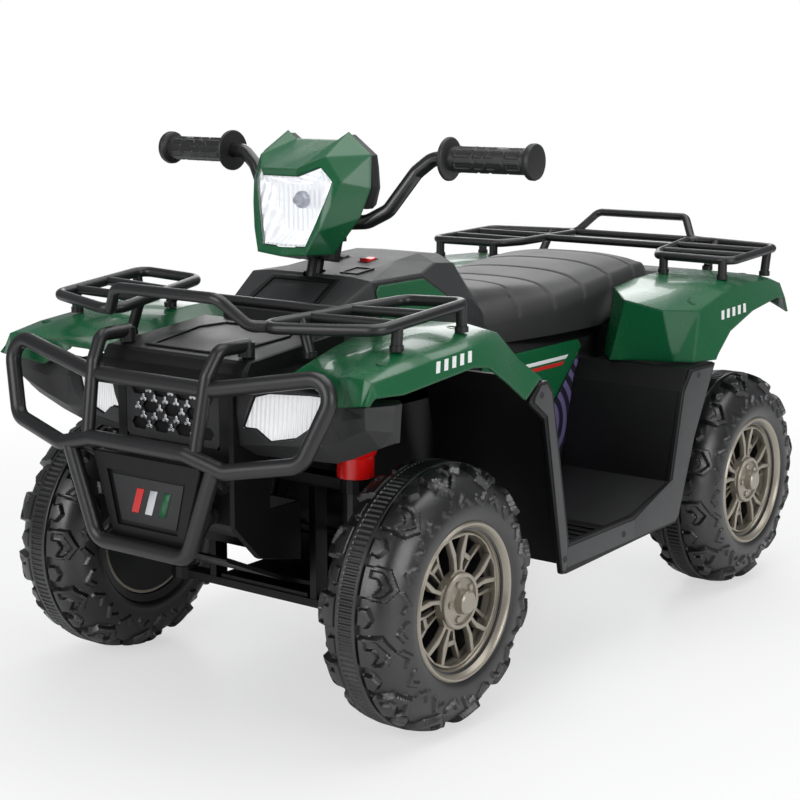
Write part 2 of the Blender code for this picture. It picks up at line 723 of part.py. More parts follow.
def accelerator_pedal():
    """Sprung plate over the right-hand floor, hinged at its heel."""
    y = CENTRE_FRONT_Y + 0.0980
    z = WELL_FLOOR_Z + 0.0048
    tip = 0.0820
    rise = 0.0240
    outline = [(y + 0.0045 * math.cos(a), z + 0.0045 * math.sin(a))
               for a in (math.radians(d) for d in (100.0, 40.0, -20.0, -80.0, -140.0))]
    outline += [(y - tip, z + rise - 0.0025), (y - tip - 0.0010, z + rise + 0.0020)]
    pedal = plate("accelerator_pedal", outline, (-0.2350, -0.1750), SIDE, material=grey(), bevel=0.0006)
    set_pivot(pedal, (-0.2050, y, z))


def side_panels():
    """Green trim plates on the centre body's sides, below the seat."""
    f = CENTRE_FRONT_Y
    r = CENTRE_BACK_Y
    x = CENTRE_HALF + GAP
    outline = [(f + 0.0680, 0.3715), (r - 0.0545, 0.3715), (r - 0.0445, 0.3600), (r - 0.1125, 0.2960),
               (r - 0.1575, 0.2920), (f + 0.0680, 0.3430)]
    left = plate("side_panel", outline, (x, x + 0.0025), SIDE, material=green(), bevel=0.0006)
    both_sides(left, "side_panel")


# Power train

GEARBOX_X = (TUB_HALF + GAP, TUB_HALF + 0.0550)


def gear_motors():
    """Gearbox housings on the rear axle, each with its motor let into the tub."""
    axle = (REAR_Y, AXLE_Z)
    motor = (MOTOR_Y, MOTOR_Z)
    lower = ring_points(0.0340, 12, axle)
    upper = ring_points(0.0270, 12, motor)
    outline = hull(lower + upper)
    housing = plate("housing", outline, GEARBOX_X, SIDE, bevel=0.003)
    can = rod("can", (0.0300, MOTOR_Y, MOTOR_Z), (GEARBOX_X[0] + 0.004, MOTOR_Y, MOTOR_Z), MOTOR_RADIUS, 16)
    boss = rod("boss", (GEARBOX_X[1] - 0.004, *axle), (TRACK_HALF - 0.0125, *axle), 0.0125, 12)
    left = fuse("gear_motor", [housing, can, boss], grey())
    bore = rod("axle_bore", (0.0, *axle), (0.3, *axle), AXLE_RADIUS + SHAFT_CLEARANCE, 12)
    both_sides(cut(left, [bore]), "gear_motor")


def hull(points):
    """The convex outline round flat points, by the monotone chain."""
    points = sorted(set((round(a, 7), round(b, 7)) for a, b in points))
    halves = []
    for run in (points, points[::-1]):
        chain = []
        for p in run:
            while len(chain) > 1 and ((chain[-1][0] - chain[-2][0]) * (p[1] - chain[-2][1])
                                      - (chain[-1][1] - chain[-2][1]) * (p[0] - chain[-2][0])) <= 1e-9:
                chain.pop()
            chain.append(p)
        halves += chain[:-1]
    return halves


def inner_works():
    reach = TRACK_HALF + AXLE_END
    rod("rear_axle", (-reach, REAR_Y, AXLE_Z), (reach, REAR_Y, AXLE_Z), AXLE_RADIUS, 12,
        finish("axle_steel", STEEL, 0.35, 0.8))
    floor = TUB_FLOOR_Z + SHELL + GAP
    battery = box("battery", (-0.0500, REAR_Y - 0.3350, floor), (0.0500, REAR_Y - 0.1850, floor + 0.0940), grey())
    soften(battery, 0.003)
    control = box("control_box", (-0.0400, CENTRE_FRONT_Y + 0.0180, floor),
                  (0.0400, CENTRE_FRONT_Y + 0.0830, floor + 0.0280), grey())
    soften(control, 0.002)


# Steering: raked column, bent handlebar, grips and the faceted head

COLUMN_TOP_Z = 0.5600
LOBE_Z = (0.5140, 0.5420)
HOUSING_FOOT_Z = 0.5790
BAR_Y = on_column(COLUMN_TOP_Z).y
BAR_PATH = ((0.0330, BAR_Y, 0.5600), (0.0700, BAR_Y + 0.0005, 0.5630), (0.0950, BAR_Y + 0.0100, 0.5770),
            (0.1280, BAR_Y + 0.0225, 0.6240), (0.1500, BAR_Y + 0.0265, 0.6410), (0.2890, BAR_Y + 0.0330, 0.6410))


def steering_column():
    """Tube along the steering axis; its crank drives the tie rod and its lobes clamp the bar."""
    foot = on_column(0.2060)
    arm_y = FRONT_Y + STEER_ARM
    solids = [
        rod("tube", foot, on_column(COLUMN_TOP_Z - 0.0100), COLUMN_RADIUS, 14),
        box("crank", (-0.0085, on_column(0.2130).y, 0.2080), (0.0085, arm_y + 0.0080, 0.2180)),
        rod("crank_pin", (0.0, arm_y, TIE_ROD_Z - 0.0030), (0.0, arm_y, 0.2120), 0.0035, 10),
        box("clamp", (-0.0270, BAR_Y - 0.0140, 0.5360), (0.0270, BAR_Y + 0.0140, HOUSING_FOOT_Z - GAP)),
    ]
    for side in (-1.0, 1.0):
        across = Vector((side * 0.0210, 0.0, 0.0))
        solids.append(rod("lobe", on_column(LOBE_Z[0]) + across, on_column(LOBE_Z[1]) + across, 0.0125, 12))
    column = fuse("steering_column", solids, black())
    bore = rod("bar_bore", (-0.05, BAR_Y, COLUMN_TOP_Z), (0.05, BAR_Y, COLUMN_TOP_Z), BAR_RADIUS + GAP, 12)
    set_pivot(settled(cut(column, [bore])), tuple(on_column(0.2500)))


def handlebar():
    tube("handlebar", mirrored(BAR_PATH[::-1]), BAR_RADIUS, 0.022, 2, material=black())


def grips():
    """Rubber sleeves with a hand stop inboard and a rounded rim outboard."""
    start = Vector(BAR_PATH[-2])
    along = (Vector(BAR_PATH[-1]) - start).normalized()
    end = Vector(BAR_PATH[-1]) + along * 0.0032
    inner = end - along * GRIP_LENGTH
    place = frame_of(Vector((0.0, 0.0, 1.0)).cross(along), Vector((0.0, 0.0, 1.0)), inner)
    bore = BAR_RADIUS + GAP
    length = GRIP_LENGTH
    blind = length - 0.0030
    profile = [(0.0, length), (0.0190, length), (0.0215, length - 0.0025), (0.0215, length - 0.0095),
               (GRIP_RADIUS, length - 0.0110), (GRIP_RADIUS, 0.0060), (0.0235, 0.0055), (0.0260, 0.0035),
               (0.0260, 0.0), (bore, 0.0), (bore, blind), (0.0, blind)]
    left = turned("grip", profile, 18, place, finish("grip_rubber", (0.020, 0.020, 0.020), 0.75))
    for thing in both_sides(left, "grip"):
        smooth(thing)


HEAD_LENS_EDGE = ((0.0, -0.3175, 0.6200), (0.0260, -0.3155, 0.6200), (0.0470, -0.2965, 0.6310),
                  (0.0600, -0.2905, 0.6140), (0.0520, -0.2965, 0.5880), (0.0430, -0.3035, 0.5620),
                  (0.0330, -0.3105, 0.5360), (0.0, -0.3135, 0.5350))
HEAD_BEVEL_EDGE = ((0.0, -0.3195, 0.6290), (0.0280, -0.3175, 0.6290), (0.0510, -0.2915, 0.6430),
                   (0.0690, -0.2840, 0.6130), (0.0610, -0.2950, 0.5850), (0.0510, -0.3050, 0.5550),
                   (0.0380, -0.3140, 0.5270), (0.0, -0.3170, 0.5240))
HEAD_REAR_EDGE = ((0.0, -0.2430, 0.6610), (0.0340, -0.2430, 0.6610), (0.0480, -0.2430, 0.6710),
                  (0.0850, -0.2460, 0.6450), (0.0870, -0.2500, 0.6050), (0.0780, -0.2600, 0.5700),
                  (0.0460, -0.2700, 0.5250), (0.0, -0.2800, 0.5170))


def head_ring(edge, move=(0.0, 0.0, 0.0), shrink=0.0):
    """A full ring from half of one, moved, and drawn toward the head's middle by a share."""
    middle = Vector((0.0, 0.0, 0.5850))
    points = []
    for x, y, z in edge:
        z = middle.z + (z - middle.z) * (1.0 - shrink)
        points.append((x * (1.0 - shrink) + move[0], y + FRONT_Y + 0.3479 + move[1], z + move[2]))
    return points + [(-x, y, z) for x, y, z in points[-2:0:-1]]


def head():
    """Faceted green mask with the lamp behind it and a black housing that clasps the bar."""
    grid = [head_ring(HEAD_LENS_EDGE), head_ring(HEAD_BEVEL_EDGE), head_ring(HEAD_REAR_EDGE)]
    sheet("head_mask", grid, HEAD_WALL, green(), ring=True)
    head_lens()
    flat = [head_ring(HEAD_LENS_EDGE, (0.0, 0.0, 0.0), share) for share in (0.34, 0.30)]
    floor, back = [[(x, FRONT_Y + depth, z) for x, y, z in ring] for ring, depth in zip(flat, (0.0680, 0.0708))]
    dish = [floor, head_ring(HEAD_LENS_EDGE, (0.0, 0.0050, 0.0), 0.060),
            head_ring(HEAD_LENS_EDGE, (0.0, 0.0050, 0.0), 0.010), back]
    loft("head_reflector", dish, finish("reflector_silver", SILVER, 0.2, 0.8))


def head_lens():
    """Clear cover with a flat middle and two swept sides, let into the mask's opening."""
    edge = head_ring(HEAD_LENS_EDGE, (0.0, 0.0004, 0.0), 0.022)
    rows = []
    for step, share in ((2, 0.0), (3, 0.2), (4, 0.5), (5, 0.8), (6, 1.0)):
        x, y, z = edge[step]
        top = edge[1]
        foot = edge[6]
        inner_x = top[0] + (foot[0] - 0.0030 - top[0]) * share
        inner_y = top[1] + (edge[7][1] - 0.0004 - top[1]) * share
        inner_z = top[2] if step == 2 else z
        rows.append([(-x, y, z), (-inner_x, inner_y, inner_z), (inner_x, inner_y, inner_z), (x, y, z)])
    sheet("head_lens", rows[::-1], 0.0024, finish("clear_lens", PEARL, 0.08))


def head_housing():
    y = FRONT_Y + 0.3479
    outline = ((0.0, 0.6575), (0.0350, 0.6575), (0.0478, 0.6672), (0.0812, 0.6435), (0.0830, 0.6060),
               (0.0740, HOUSING_FOOT_Z), (0.0, HOUSING_FOOT_Z))
    rear = ((0.0, 0.6400), (0.0350, 0.6400), (0.0440, 0.6440), (0.0590, 0.6270), (0.0610, 0.6020),
            (0.0550, HOUSING_FOOT_Z + 0.0020), (0.0, HOUSING_FOOT_Z + 0.0020))
    sections = []
    for edge, depth in ((outline, -0.2416), (outline, -0.2300), (rear, -0.1980)):
        half = [(x, y + depth, z) for x, z in edge]
        sections.append(half + [(-x, b, z) for x, b, z in half[-2:0:-1]])
    loft("head_housing", sections, black())


# Nose, grille, cheeks and lamps

HOOD_LINE_Z = (0.4305, 0.4460)
HOOD_EDGE_Z = 0.4020
NOSE_HALF = 0.0900
NOSE_FACE = 0.1595
CHEEK_DEPTH = 0.0997
CHEEK_X = (NOSE_HALF + GAP, 0.2000, 0.2300, 0.2680, 0.2860)
CHEEKS = (
    ((-0.1500, 0.3990), (-0.1510, 0.3700), (-0.1455, 0.3350), (-0.1175, 0.3180), (-0.0525, 0.3300), (-0.0525, 0.3990)),
    ((-0.1250, 0.4000), (-0.1340, 0.3800), (-0.1355, 0.3450), (-0.1095, 0.3220), (-0.0625, 0.3350), (-0.0625, 0.4000)),
    ((-0.1330, 0.3915), (-0.1400, 0.3780), (-0.1395, 0.3560), (-0.1145, 0.3330), (-0.0745, 0.3420), (-0.0745, 0.3915)),
    ((-0.1470, 0.3980), (-0.1465, 0.3880), (-0.1450, 0.3740), (-0.1195, 0.3500), (-0.0875, 0.3520), (-0.0875, 0.3980)),
    ((-0.1175, 0.3985), (-0.1195, 0.3900), (-0.1215, 0.3700), (-0.1175, 0.3580), (-0.1095, 0.3570), (-0.1055, 0.3985)),
)


def front_body():
    """Nose and hood in one moulding, hollow from below, with a recess for the grille."""
    y = FRONT_Y
    wall = 0.0040
    slab = plate("hood", [(y - 0.1525, HOOD_LINE_Z[0]), (y + 0.0175, HOOD_LINE_Z[1]), (y + 0.0175, HOOD_EDGE_Z),
                          (y - NOSE_FACE, HOOD_EDGE_Z), (y - NOSE_FACE, HOOD_EDGE_Z + 0.0180)],
                 (-HOOD_HALF, HOOD_HALF), SIDE, bevel=0.0035)
    nose = plate("nose", [(y - NOSE_FACE, HOOD_EDGE_Z + 0.0100), (y - NOSE_FACE, 0.2400), (y - 0.1175, 0.1960),
                          (y - 0.0395, 0.1780), (y - 0.0395, HOOD_EDGE_Z + 0.0100)],
                 (-NOSE_HALF, NOSE_HALF), SIDE, bevel=0.0035)
    back = box("back", (-HOOD_HALF, y - CHEEK_DEPTH, 0.2990), (HOOD_HALF, y + 0.0175, HOOD_EDGE_Z + 0.0100))
    body = fuse("front_body", [slab, nose, back], black())
    roof = plate("hood_hollow", [(y - 0.1485, HOOD_EDGE_Z - 0.02), (y - 0.1485, HOOD_LINE_Z[0] - 0.0042),
                                 (y + 0.0135, HOOD_LINE_Z[1] - 0.0045), (y + 0.0135, HOOD_EDGE_Z - 0.02)],
                 (-HOOD_HALF + wall, HOOD_HALF - wall), SIDE)
    inside = box("nose_hollow", (-NOSE_HALF + wall, y - 0.1480, 0.10), (NOSE_HALF - wall, y - 0.0435, HOOD_EDGE_Z))
    rear = box("back_hollow", (-HOOD_HALF + wall, y - CHEEK_DEPTH + wall, 0.25),
               (HOOD_HALF - wall, y + 0.0135, HOOD_EDGE_Z))
    recess = box("grille_recess", (-0.0730, y - 0.20, 0.3285), (0.0730, y - NOSE_FACE + 0.0035, 0.4025))
    return cut(body, [roof, inside, rear, recess])


def grille():
    """Plate pierced by staggered slots, let flush into the nose."""
    holes = []
    for row, z in enumerate((0.3450, 0.3655, 0.3860)):
        count = 4 - row % 2
        for i in range(count):
            x = (i - (count - 1) / 2.0) * 0.0345
            holes.append([(x - 0.0130, z), (x - 0.0080, z + 0.0070), (x + 0.0080, z + 0.0070), (x + 0.0130, z),
                          (x + 0.0080, z - 0.0070), (x - 0.0080, z - 0.0070)])
    face = FRONT_Y - 0.1560 - GAP
    outline = [(-0.0680, 0.3290), (0.0680, 0.3290), (0.0725, 0.3335), (0.0725, 0.3975), (0.0680, 0.4020),
               (-0.0680, 0.4020), (-0.0725, 0.3975), (-0.0725, 0.3335)]
    plate("grille", outline, (-face, -face + 0.0030), FRONT, holes, grey())


def front_cheeks():
    """Dark panel between nose and mudguard with a pocket for its lamp."""
    sections = [[(x, FRONT_Y + y, z) for y, z in ring] for x, ring in zip(CHEEK_X, CHEEKS)]
    left = loft("front_cheek", sections, grey())
    face, outline = lamp_face()
    pocket = plate("lamp_pocket", offset_loop(outline, 0.0004), (-0.0120, 0.03), face)
    step = box("hood_step", (0.05, FRONT_Y - CHEEK_DEPTH - GAP, 0.28), (HOOD_HALF + GAP, FRONT_Y, 0.42))
    inner = plate("cheek_hollow", [(FRONT_Y - 0.1080, 0.3560), (FRONT_Y - 0.1080, 0.30), (FRONT_Y - 0.04, 0.30),
                                   (FRONT_Y - 0.04, 0.3860), (FRONT_Y - 0.0980, 0.3860)],
                  (HOOD_HALF + 0.0050, 0.2550), SIDE)
    both_sides(cut(left, [pocket, step, inner]), "front_cheek")


def lamp_face():
    """The lamp's own plane on the cheek's face, and its outline there."""
    corner = Vector((0.0925, FRONT_Y - 0.1455, 0.3530))
    place = frame_of((0.0750, 0.0190, 0.0050), (-0.0050, 0.0030, 0.0450), corner)
    back = place.inverted()
    points = [(0.0960, 0.3550), (0.1080, 0.3910), (0.1250, 0.3960), (0.1740, 0.3975), (0.1990, 0.3960),
              (0.1810, 0.3630), (0.1600, 0.3480), (0.1300, 0.3420), (0.1120, 0.3545)]
    normal = place.to_3x3() @ Vector((0.0, 0.0, 1.0))
    outline = []
    for x, z in points:
        y = corner.y - ((x - corner.x) * normal.x + (z - corner.z) * normal.z) / normal.y
        flat = back @ Vector((x, y, z))
        outline.append((flat.x, flat.y))
    return place, outline


def offset_loop(points, distance):
    """A closed flat outline moved outward by a distance, for either winding."""
    area = sum(a[0] * b[1] - b[0] * a[1] for a, b in zip(points, points[1:] + points[:1]))
    turn = 1.0 if area > 0.0 else -1.0
    moved = []
    for i, here in enumerate(points):
        before = Vector(points[i - 1])
        after = Vector(points[(i + 1) % len(points)])
        first = (Vector(here) - before).normalized()
        second = (after - Vector(here)).normalized()
        normal = Vector((first.y, -first.x)) + Vector((second.y, -second.x))
        scale = turn * distance * 2.0 / max(0.4, normal.length_squared)
        moved.append(tuple(Vector(here) + normal * scale))
    return moved


def headlamps():
    face, outline = lamp_face()
    left = plate("headlamp", outline, (-0.0116, 0.0012), face, material=finish("lamp_silver", SILVER, 0.15))
    both_sides(left, "headlamp")


# Bumper and racks

def front_bumper():
    """Bent tubes: an open outer loop, a lower loop and two posts up to the hood."""
    y = FRONT_Y
    nose = FRONT_Y - BUMPER_REACH
    r = BUMPER_RADIUS
    upper = ((0.0900, nose + 0.0205, 0.4040), (0.2580, nose + 0.0440, 0.4340), (0.2200, nose + 0.0200, 0.3380),
             (0.1270, nose + 0.0020, 0.3210), (0.0730, nose, 0.3340))
    loop = list(upper) + [(-a, b, c) for a, b, c in upper[::-1]]
    solids = [
        tube("outer_loop", loop, r, 0.022, 2, closed=True),
        tube("lower_loop", mirrored(((0.1120, nose + 0.0020, 0.3215), (0.0710, nose + 0.0010, 0.2150))), r, 0.022, 2),
    ]
    for side in (-1.0, 1.0):
        def at(x, back, z):
            return (side * x, nose + back, z)
        hood_foot = y - 0.1350
        solids.append(tube("post", [at(0.0840, 0.0030, 0.3340), at(0.0880, 0.0190, 0.4180), at(0.0920, 0.0360, 0.4460),
                                    (side * 0.0930, hood_foot + 0.0030, 0.4460)], r * 0.85, 0.014, 2))
        solids.append(rod("foot", (side * 0.0930, hood_foot, 0.4334), (side * 0.0930, hood_foot, 0.4500), 0.0095, 10))
        face = y - NOSE_FACE - GAP
        for name, low, high in (("stay", (0.0780, 0.2900), (0.0980, 0.3280)),
                                ("low_stay", (0.0600, 0.2520), (0.0720, 0.2180))):
            solids.append(rod(name + "_pad", (side * low[0], face, low[1]), (side * low[0], face - 0.0065, low[1]),
                              0.0100, 10))
            solids.append(rod(name, (side * low[0], face - 0.0040, low[1]), at(high[0], 0.0015, high[1]), 0.0060, 8))
    return fuse("front_bumper", solids, black())


def bumper_plate():
    """Ribless guard plate hung behind the bumper's lower loop, with a sunk face."""
    y = FRONT_Y
    outline = [(-0.0840, 0.3130), (-0.0800, 0.3180), (0.0800, 0.3180), (0.0840, 0.3130), (0.0540, 0.2170),
               (0.0500, 0.2130), (-0.0500, 0.2130), (-0.0540, 0.2170)]
    front = BUMPER_REACH - 0.0010 - BUMPER_RADIUS - GAP
    thing = plate("bumper_plate", outline, (-y + front - 0.0080, -y + front), FRONT, material=black(), bevel=0.0012)
    sunk = plate("plate_pocket", [(-0.0620, 0.2980), (0.0620, 0.2980), (0.0470, 0.2350), (-0.0470, 0.2350)],
                 (-y + front - 0.0040, -y + front + 0.02), FRONT)
    cut(thing, [sunk])


FRONT_LIP = (
    ((0.2000, -0.1280, 0.4125), (0.2300, -0.1435, 0.3930), (0.2550, -0.1525, 0.3980), (0.2720, -0.1585, 0.4015),
     (0.2810, -0.1625, 0.4035), (0.2865, -0.1630, 0.4046)),
    ((0.2000, -0.1260, 0.4150), (0.2260, -0.1400, 0.4240), (0.2500, -0.1530, 0.4300), (0.2720, -0.1525, 0.4295),
     (0.2810, -0.1510, 0.4270), (0.2880, -0.1530, 0.4120)),
)
FRONT_FENDER = (
    (-0.1075, ((0.1303, 0.4120), (0.1600, 0.4300), (0.2400, 0.4400), (0.2740, 0.4380), (0.2840, 0.4310), (0.2900, 0.4085))),
    (-0.0475, ((0.1125, 0.4180), (0.1500, 0.4400), (0.2350, 0.4490), (0.2740, 0.4440), (0.2840, 0.4370), (0.2900, 0.4135))),
    (0.0225, ((0.1125, 0.4180), (0.1500, 0.4520), (0.2300, 0.4560), (0.2730, 0.4490), (0.2840, 0.4410), (0.2900, 0.4195))),
    (0.0525, ((0.1165, 0.4180), (0.1500, 0.4530), (0.2280, 0.4570), (0.2720, 0.4500), (0.2830, 0.4420), (0.2900, 0.4155))),
    (0.0975, ((0.1165, 0.4180), (0.1500, 0.4520), (0.2260, 0.4550), (0.2700, 0.4480), (0.2820, 0.4350), (0.2900, 0.3885))),
    (0.1305, ((0.1165, 0.4120), (0.1500, 0.4250), (0.2250, 0.4280), (0.2680, 0.4240), (0.2810, 0.4120), (0.2900, 0.3664))),
    (0.1645, ((0.1165, 0.3890), (0.1500, 0.3920), (0.2220, 0.3940), (0.2660, 0.3930), (0.2800, 0.3900), (0.2890, 0.3880))),
)
REAR_FENDER = (
    (0.1360, ((-0.1580, 0.3470), (-0.1350, 0.4390), (-0.0775, 0.4460), (-0.0055, 0.4490), (0.0775, 0.4460), (0.1345, 0.4370), (0.1405, 0.4050))),
    (0.1700, ((-0.2011, 0.3470), (-0.1780, 0.4375), (-0.0775, 0.4460), (-0.0055, 0.4490), (0.0775, 0.4460), (0.1345, 0.4370), (0.1405, 0.4050))),
    (0.2000, ((-0.1815, 0.3470), (-0.2150, 0.4350), (-0.0775, 0.4460), (-0.0055, 0.4490), (0.0775, 0.4460), (0.1345, 0.4370), (0.1405, 0.4050))),
    (0.2520, ((-0.1695, 0.3480), (-0.2035, 0.4240), (-0.0775, 0.4440), (-0.0055, 0.4480), (0.0775, 0.4450), (0.1225, 0.4360), (0.1285, 0.4020))),
    (0.2760, ((-0.1555, 0.3480), (-0.1435, 0.4180), (-0.0775, 0.4340), (-0.0055, 0.4415), (0.0775, 0.4400), (0.1115, 0.4310), (0.1175, 0.3950))),
    (0.2900, ((-0.1155, 0.3480), (-0.1095, 0.3550), (-0.0745, 0.3830), (-0.0055, 0.4040), (0.0775, 0.4150), (0.1005, 0.4120), (0.1125, 0.3900))),
)


def fenders():
    """Faceted green mudguards, one moulding per wheel."""
    grid = [[(x, FRONT_Y + y, z) for x, y, z in row] for row in FRONT_LIP]
    grid += [[(x, FRONT_Y + y, z) for x, z in row] for y, row in FRONT_FENDER]
    both_sides(sheet("front_fender", grid, SHELL, green()), "front_fender")
    rows = [[(x, REAR_Y + y, z) for y, z in row] for x, row in REAR_FENDER]
    grid = [list(column) for column in zip(*rows)]
    both_sides(sheet("rear_fender", grid, SHELL, green()), "rear_fender")


def posts(places, anchor, supports):
    """Rack posts: each stands on what is under it and leans to the tube above it."""
    solids = []
    for foot_x, foot_y, top_x, top_y, top_z in places:
        z = resting_height(supports, foot_x, anchor + foot_y, POST_RADIUS + 0.0020) + GAP
        for side in (-1.0, 1.0):
            solids.append(rod("foot", (side * foot_x, anchor + foot_y, z), (side * foot_x, anchor + foot_y, z + 0.0065),
                              POST_RADIUS + 0.0015, 10))
            solids.append(rod("post", (side * foot_x, anchor + foot_y, z + 0.0050),
                              (side * top_x, anchor + top_y, top_z), POST_RADIUS, 8))
    return solids


def both(points, anchor):
    """The same points on the left and on the right, set back from an axle."""
    return [[(side * x, anchor + y, z) for x, y, z in points] for side in (-1.0, 1.0)]


def front_rack():
    y = FRONT_Y
    r = FRONT_RACK_RADIUS
    outer = [(0.1080, -0.1440, 0.4680), (0.2500, -0.0990, 0.4720), (0.2580, 0.0550, 0.4860), (0.1640, 0.0630, 0.4810)]
    loop = outer + [(0.1080, -0.1440, 0.4680)]
    solids = []
    for path in both(loop[:-1], y):
        solids.append(tube("wing", path, r, 0.018, 2, closed=True))
    hoop = mirrored([(0.1240, y - 0.1300, 0.4690), (0.1080, y - 0.1470, 0.4700), (0.0790, y - 0.1650, 0.5000)])
    solids.append(tube("hoop", hoop, r, 0.020, 2))
    solids.append(rod("centre_bar", (-0.1380, y - 0.0275, 0.4753), (0.1380, y - 0.0275, 0.4753), r * 0.9, 8))
    for inner_x, outer_x, bar_y, inner_z, outer_z in ((0.1435, 0.2545, -0.0125, 0.4760, 0.4798),
                                                      (0.1285, 0.2515, -0.0675, 0.4728, 0.4749)):
        for path in both([(inner_x, bar_y, inner_z), (outer_x, bar_y, outer_z)], y):
            solids.append(rod("wing_bar", path[0], path[1], r * 0.85, 8))
    places = ((0.2500, -0.0675, 0.2515, -0.0675, 0.4745), (0.2560, 0.0465, 0.2575, 0.0440, 0.4850),
              (0.1400, -0.0825, 0.1270, -0.0800, 0.4720), (0.1620, 0.0075, 0.1500, 0.0120, 0.4775))
    supports = [bpy.data.objects["front_fender_left"]]
    fuse("front_rack", solids + posts(places, y, supports), black())


def rear_rack():
    y = REAR_Y
    r = REAR_RACK_RADIUS
    wing = [(0.1000, 0.1565, 0.4810), (0.1400, 0.1560, 0.4808), (0.2550, 0.1350, 0.4800), (0.2625, -0.0230, 0.4745),
            (0.1400, -0.0155, 0.4745), (0.1220, 0.0225, 0.4755)]
    solids = [tube("wing", path, r, 0.018, 2, closed=True) for path in both(wing, y)]
    solids.append(tube("hoop", mirrored([(0.1240, y + 0.1565, 0.4810), (0.1040, y + 0.1575, 0.4820),
                                        (0.0790, y + HOOP_REACH, 0.5130)]), r, 0.014, 2))
    solids.append(rod("rear_bar", (-0.1280, y + 0.1565, 0.4810), (0.1280, y + 0.1565, 0.4810), r * 0.97, 8))
    solids.append(rod("front_bar", (-0.1130, y + 0.0775, 0.4781), (0.1130, y + 0.0775, 0.4781), r * 0.9, 8))
    for inner_x, bar_y, inner_z, outer_z in ((0.1198, 0.0375, 0.4760, 0.4764), (0.1098, 0.0975, 0.4785, 0.4782)):
        for path in both([(inner_x, bar_y, inner_z), (0.2580, bar_y, outer_z)], y):
            solids.append(rod("wing_bar", path[0], path[1], r * 0.85, 8))
    places = ((0.2480, -0.0220, 0.2480, -0.0220, 0.4745), (0.1500, -0.0160, 0.1500, -0.0160, 0.4745),
              (0.2530, 0.1060, 0.2555, 0.1080, 0.4790), (0.1500, 0.1240, 0.1500, 0.1530, 0.4805))
    supports = [bpy.data.objects["rear_fender_left"], bpy.data.objects["rear_deck"]]
    fuse("rear_rack", solids + posts(places, y, supports), black())


def rear_deck():
    """Black moulding behind the seat, hollow from below."""
    y = REAR_Y
    z = TUB_TOP_Z + GAP
    outline = [(y - 0.1447, z), (y - 0.1447, CENTRE_TOP_Z), (y - 0.0775, 0.3996), (y - 0.0225, 0.4246), (y + 0.0075, 0.4396),
               (y + 0.0205, 0.4455), (y + 0.1225, 0.4405), (y + 0.1345, 0.4000), (y + 0.1225, z)]
    deck = plate("rear_deck", outline, (-REAR_DECK_HALF, REAR_DECK_HALF), SIDE, material=black(), bevel=0.0015)
    wall = 0.0040
    inside = [(y - 0.1407, 0.30), (y - 0.1407, CENTRE_TOP_Z - 0.0045), (y - 0.0790, 0.3950), (y - 0.0240, 0.4202),
              (y + 0.0060, 0.4352), (y + 0.0200, 0.4410), (y + 0.1190, 0.4360), (y + 0.1300, 0.4000), (y + 0.1185, 0.30)]
    hollow = plate("deck_hollow", inside, (-REAR_DECK_HALF + wall, REAR_DECK_HALF - wall), SIDE)
    return cut(deck, [hollow])


# Dash: faceted cover, its green side panels and the two rocker switches

DASH_STATIONS = (
    # set back from the front axle, then top, shoulder, crease and side corners as (x, z)
    (0.0178, (0.0620, 0.4600), (0.0780, 0.4560), (0.0820, 0.4530), (0.0870, 0.4200)),
    (0.0875, (0.0620, 0.4985), (0.0935, 0.4950), (0.0965, 0.4925), (0.1080, 0.4400)),
    (0.1900, (0.0560, 0.5090), (0.0945, 0.4955), (0.0965, 0.4925), (0.1080, 0.4400)),
    (0.2430, (0.0500, 0.5130), (0.0760, 0.5020), (0.1038, 0.4590), (0.1080, 0.4400)),
    (0.2925, (0.0460, 0.5080), (0.0700, 0.4970), (0.1000, 0.4520), (0.1050, 0.4300)),
    (0.3245, (0.0400, 0.4700), (0.0660, 0.4620), (0.0960, 0.4300), (0.1000, 0.4100)),
)
SWITCH_X = 0.0220
SWITCH_Y = FRONT_Y + 0.1745
SWITCH_HALF = (0.0060, 0.0090)
SWITCH_PIVOT_Z = 0.5050
DASH_FOOT_Z = CENTRE_TOP_Z + GAP


def dash_section(station, inset, foot):
    y, *corners = station
    half = [(x - inset, z - inset) for x, z in corners]
    half.append((corners[-1][0] - inset, foot))
    return [(x, FRONT_Y + y, z) for x, z in half] + [(-x, FRONT_Y + y, z) for x, z in reversed(half)]


def dash_cover():
    outer = loft("dash_cover", [dash_section(s, 0.0, DASH_FOOT_Z) for s in DASH_STATIONS], black())
    soften(outer, 0.0015, angle=35.0)
    outer = settled(outer)
    inner_stations = [(DASH_STATIONS[0][0] + 0.0040, *DASH_STATIONS[0][1:]), *DASH_STATIONS[1:-1],
                      (DASH_STATIONS[-1][0] - 0.0040, *DASH_STATIONS[-1][1:])]
    hollow = loft("dash_hollow", [dash_section(s, 0.0045, DASH_FOOT_Z - 0.02) for s in inner_stations])
    column_hole = rod("column_hole", on_column(0.36), on_column(0.56), COLUMN_RADIUS + 0.0040, 14)
    shell = settled(cut(outer, [hollow]))
    wells = [box("switch_well", (side * SWITCH_X - 0.0095, SWITCH_Y - 0.0125, 0.4900),
                 (side * SWITCH_X + 0.0095, SWITCH_Y + 0.0125, 0.5050)) for side in (-1.0, 1.0)]
    shell = fuse("dash_cover", [shell, *wells], black())
    pockets = [box("switch_pocket", (side * SWITCH_X - SWITCH_HALF[0] - 0.0006, SWITCH_Y - SWITCH_HALF[1] - 0.0007,
                                     0.4940),
                   (side * SWITCH_X + SWITCH_HALF[0] + 0.0006, SWITCH_Y + SWITCH_HALF[1] + 0.0007, 0.53))
               for side in (-1.0, 1.0)]
    cut(shell, [column_hole, *pockets])


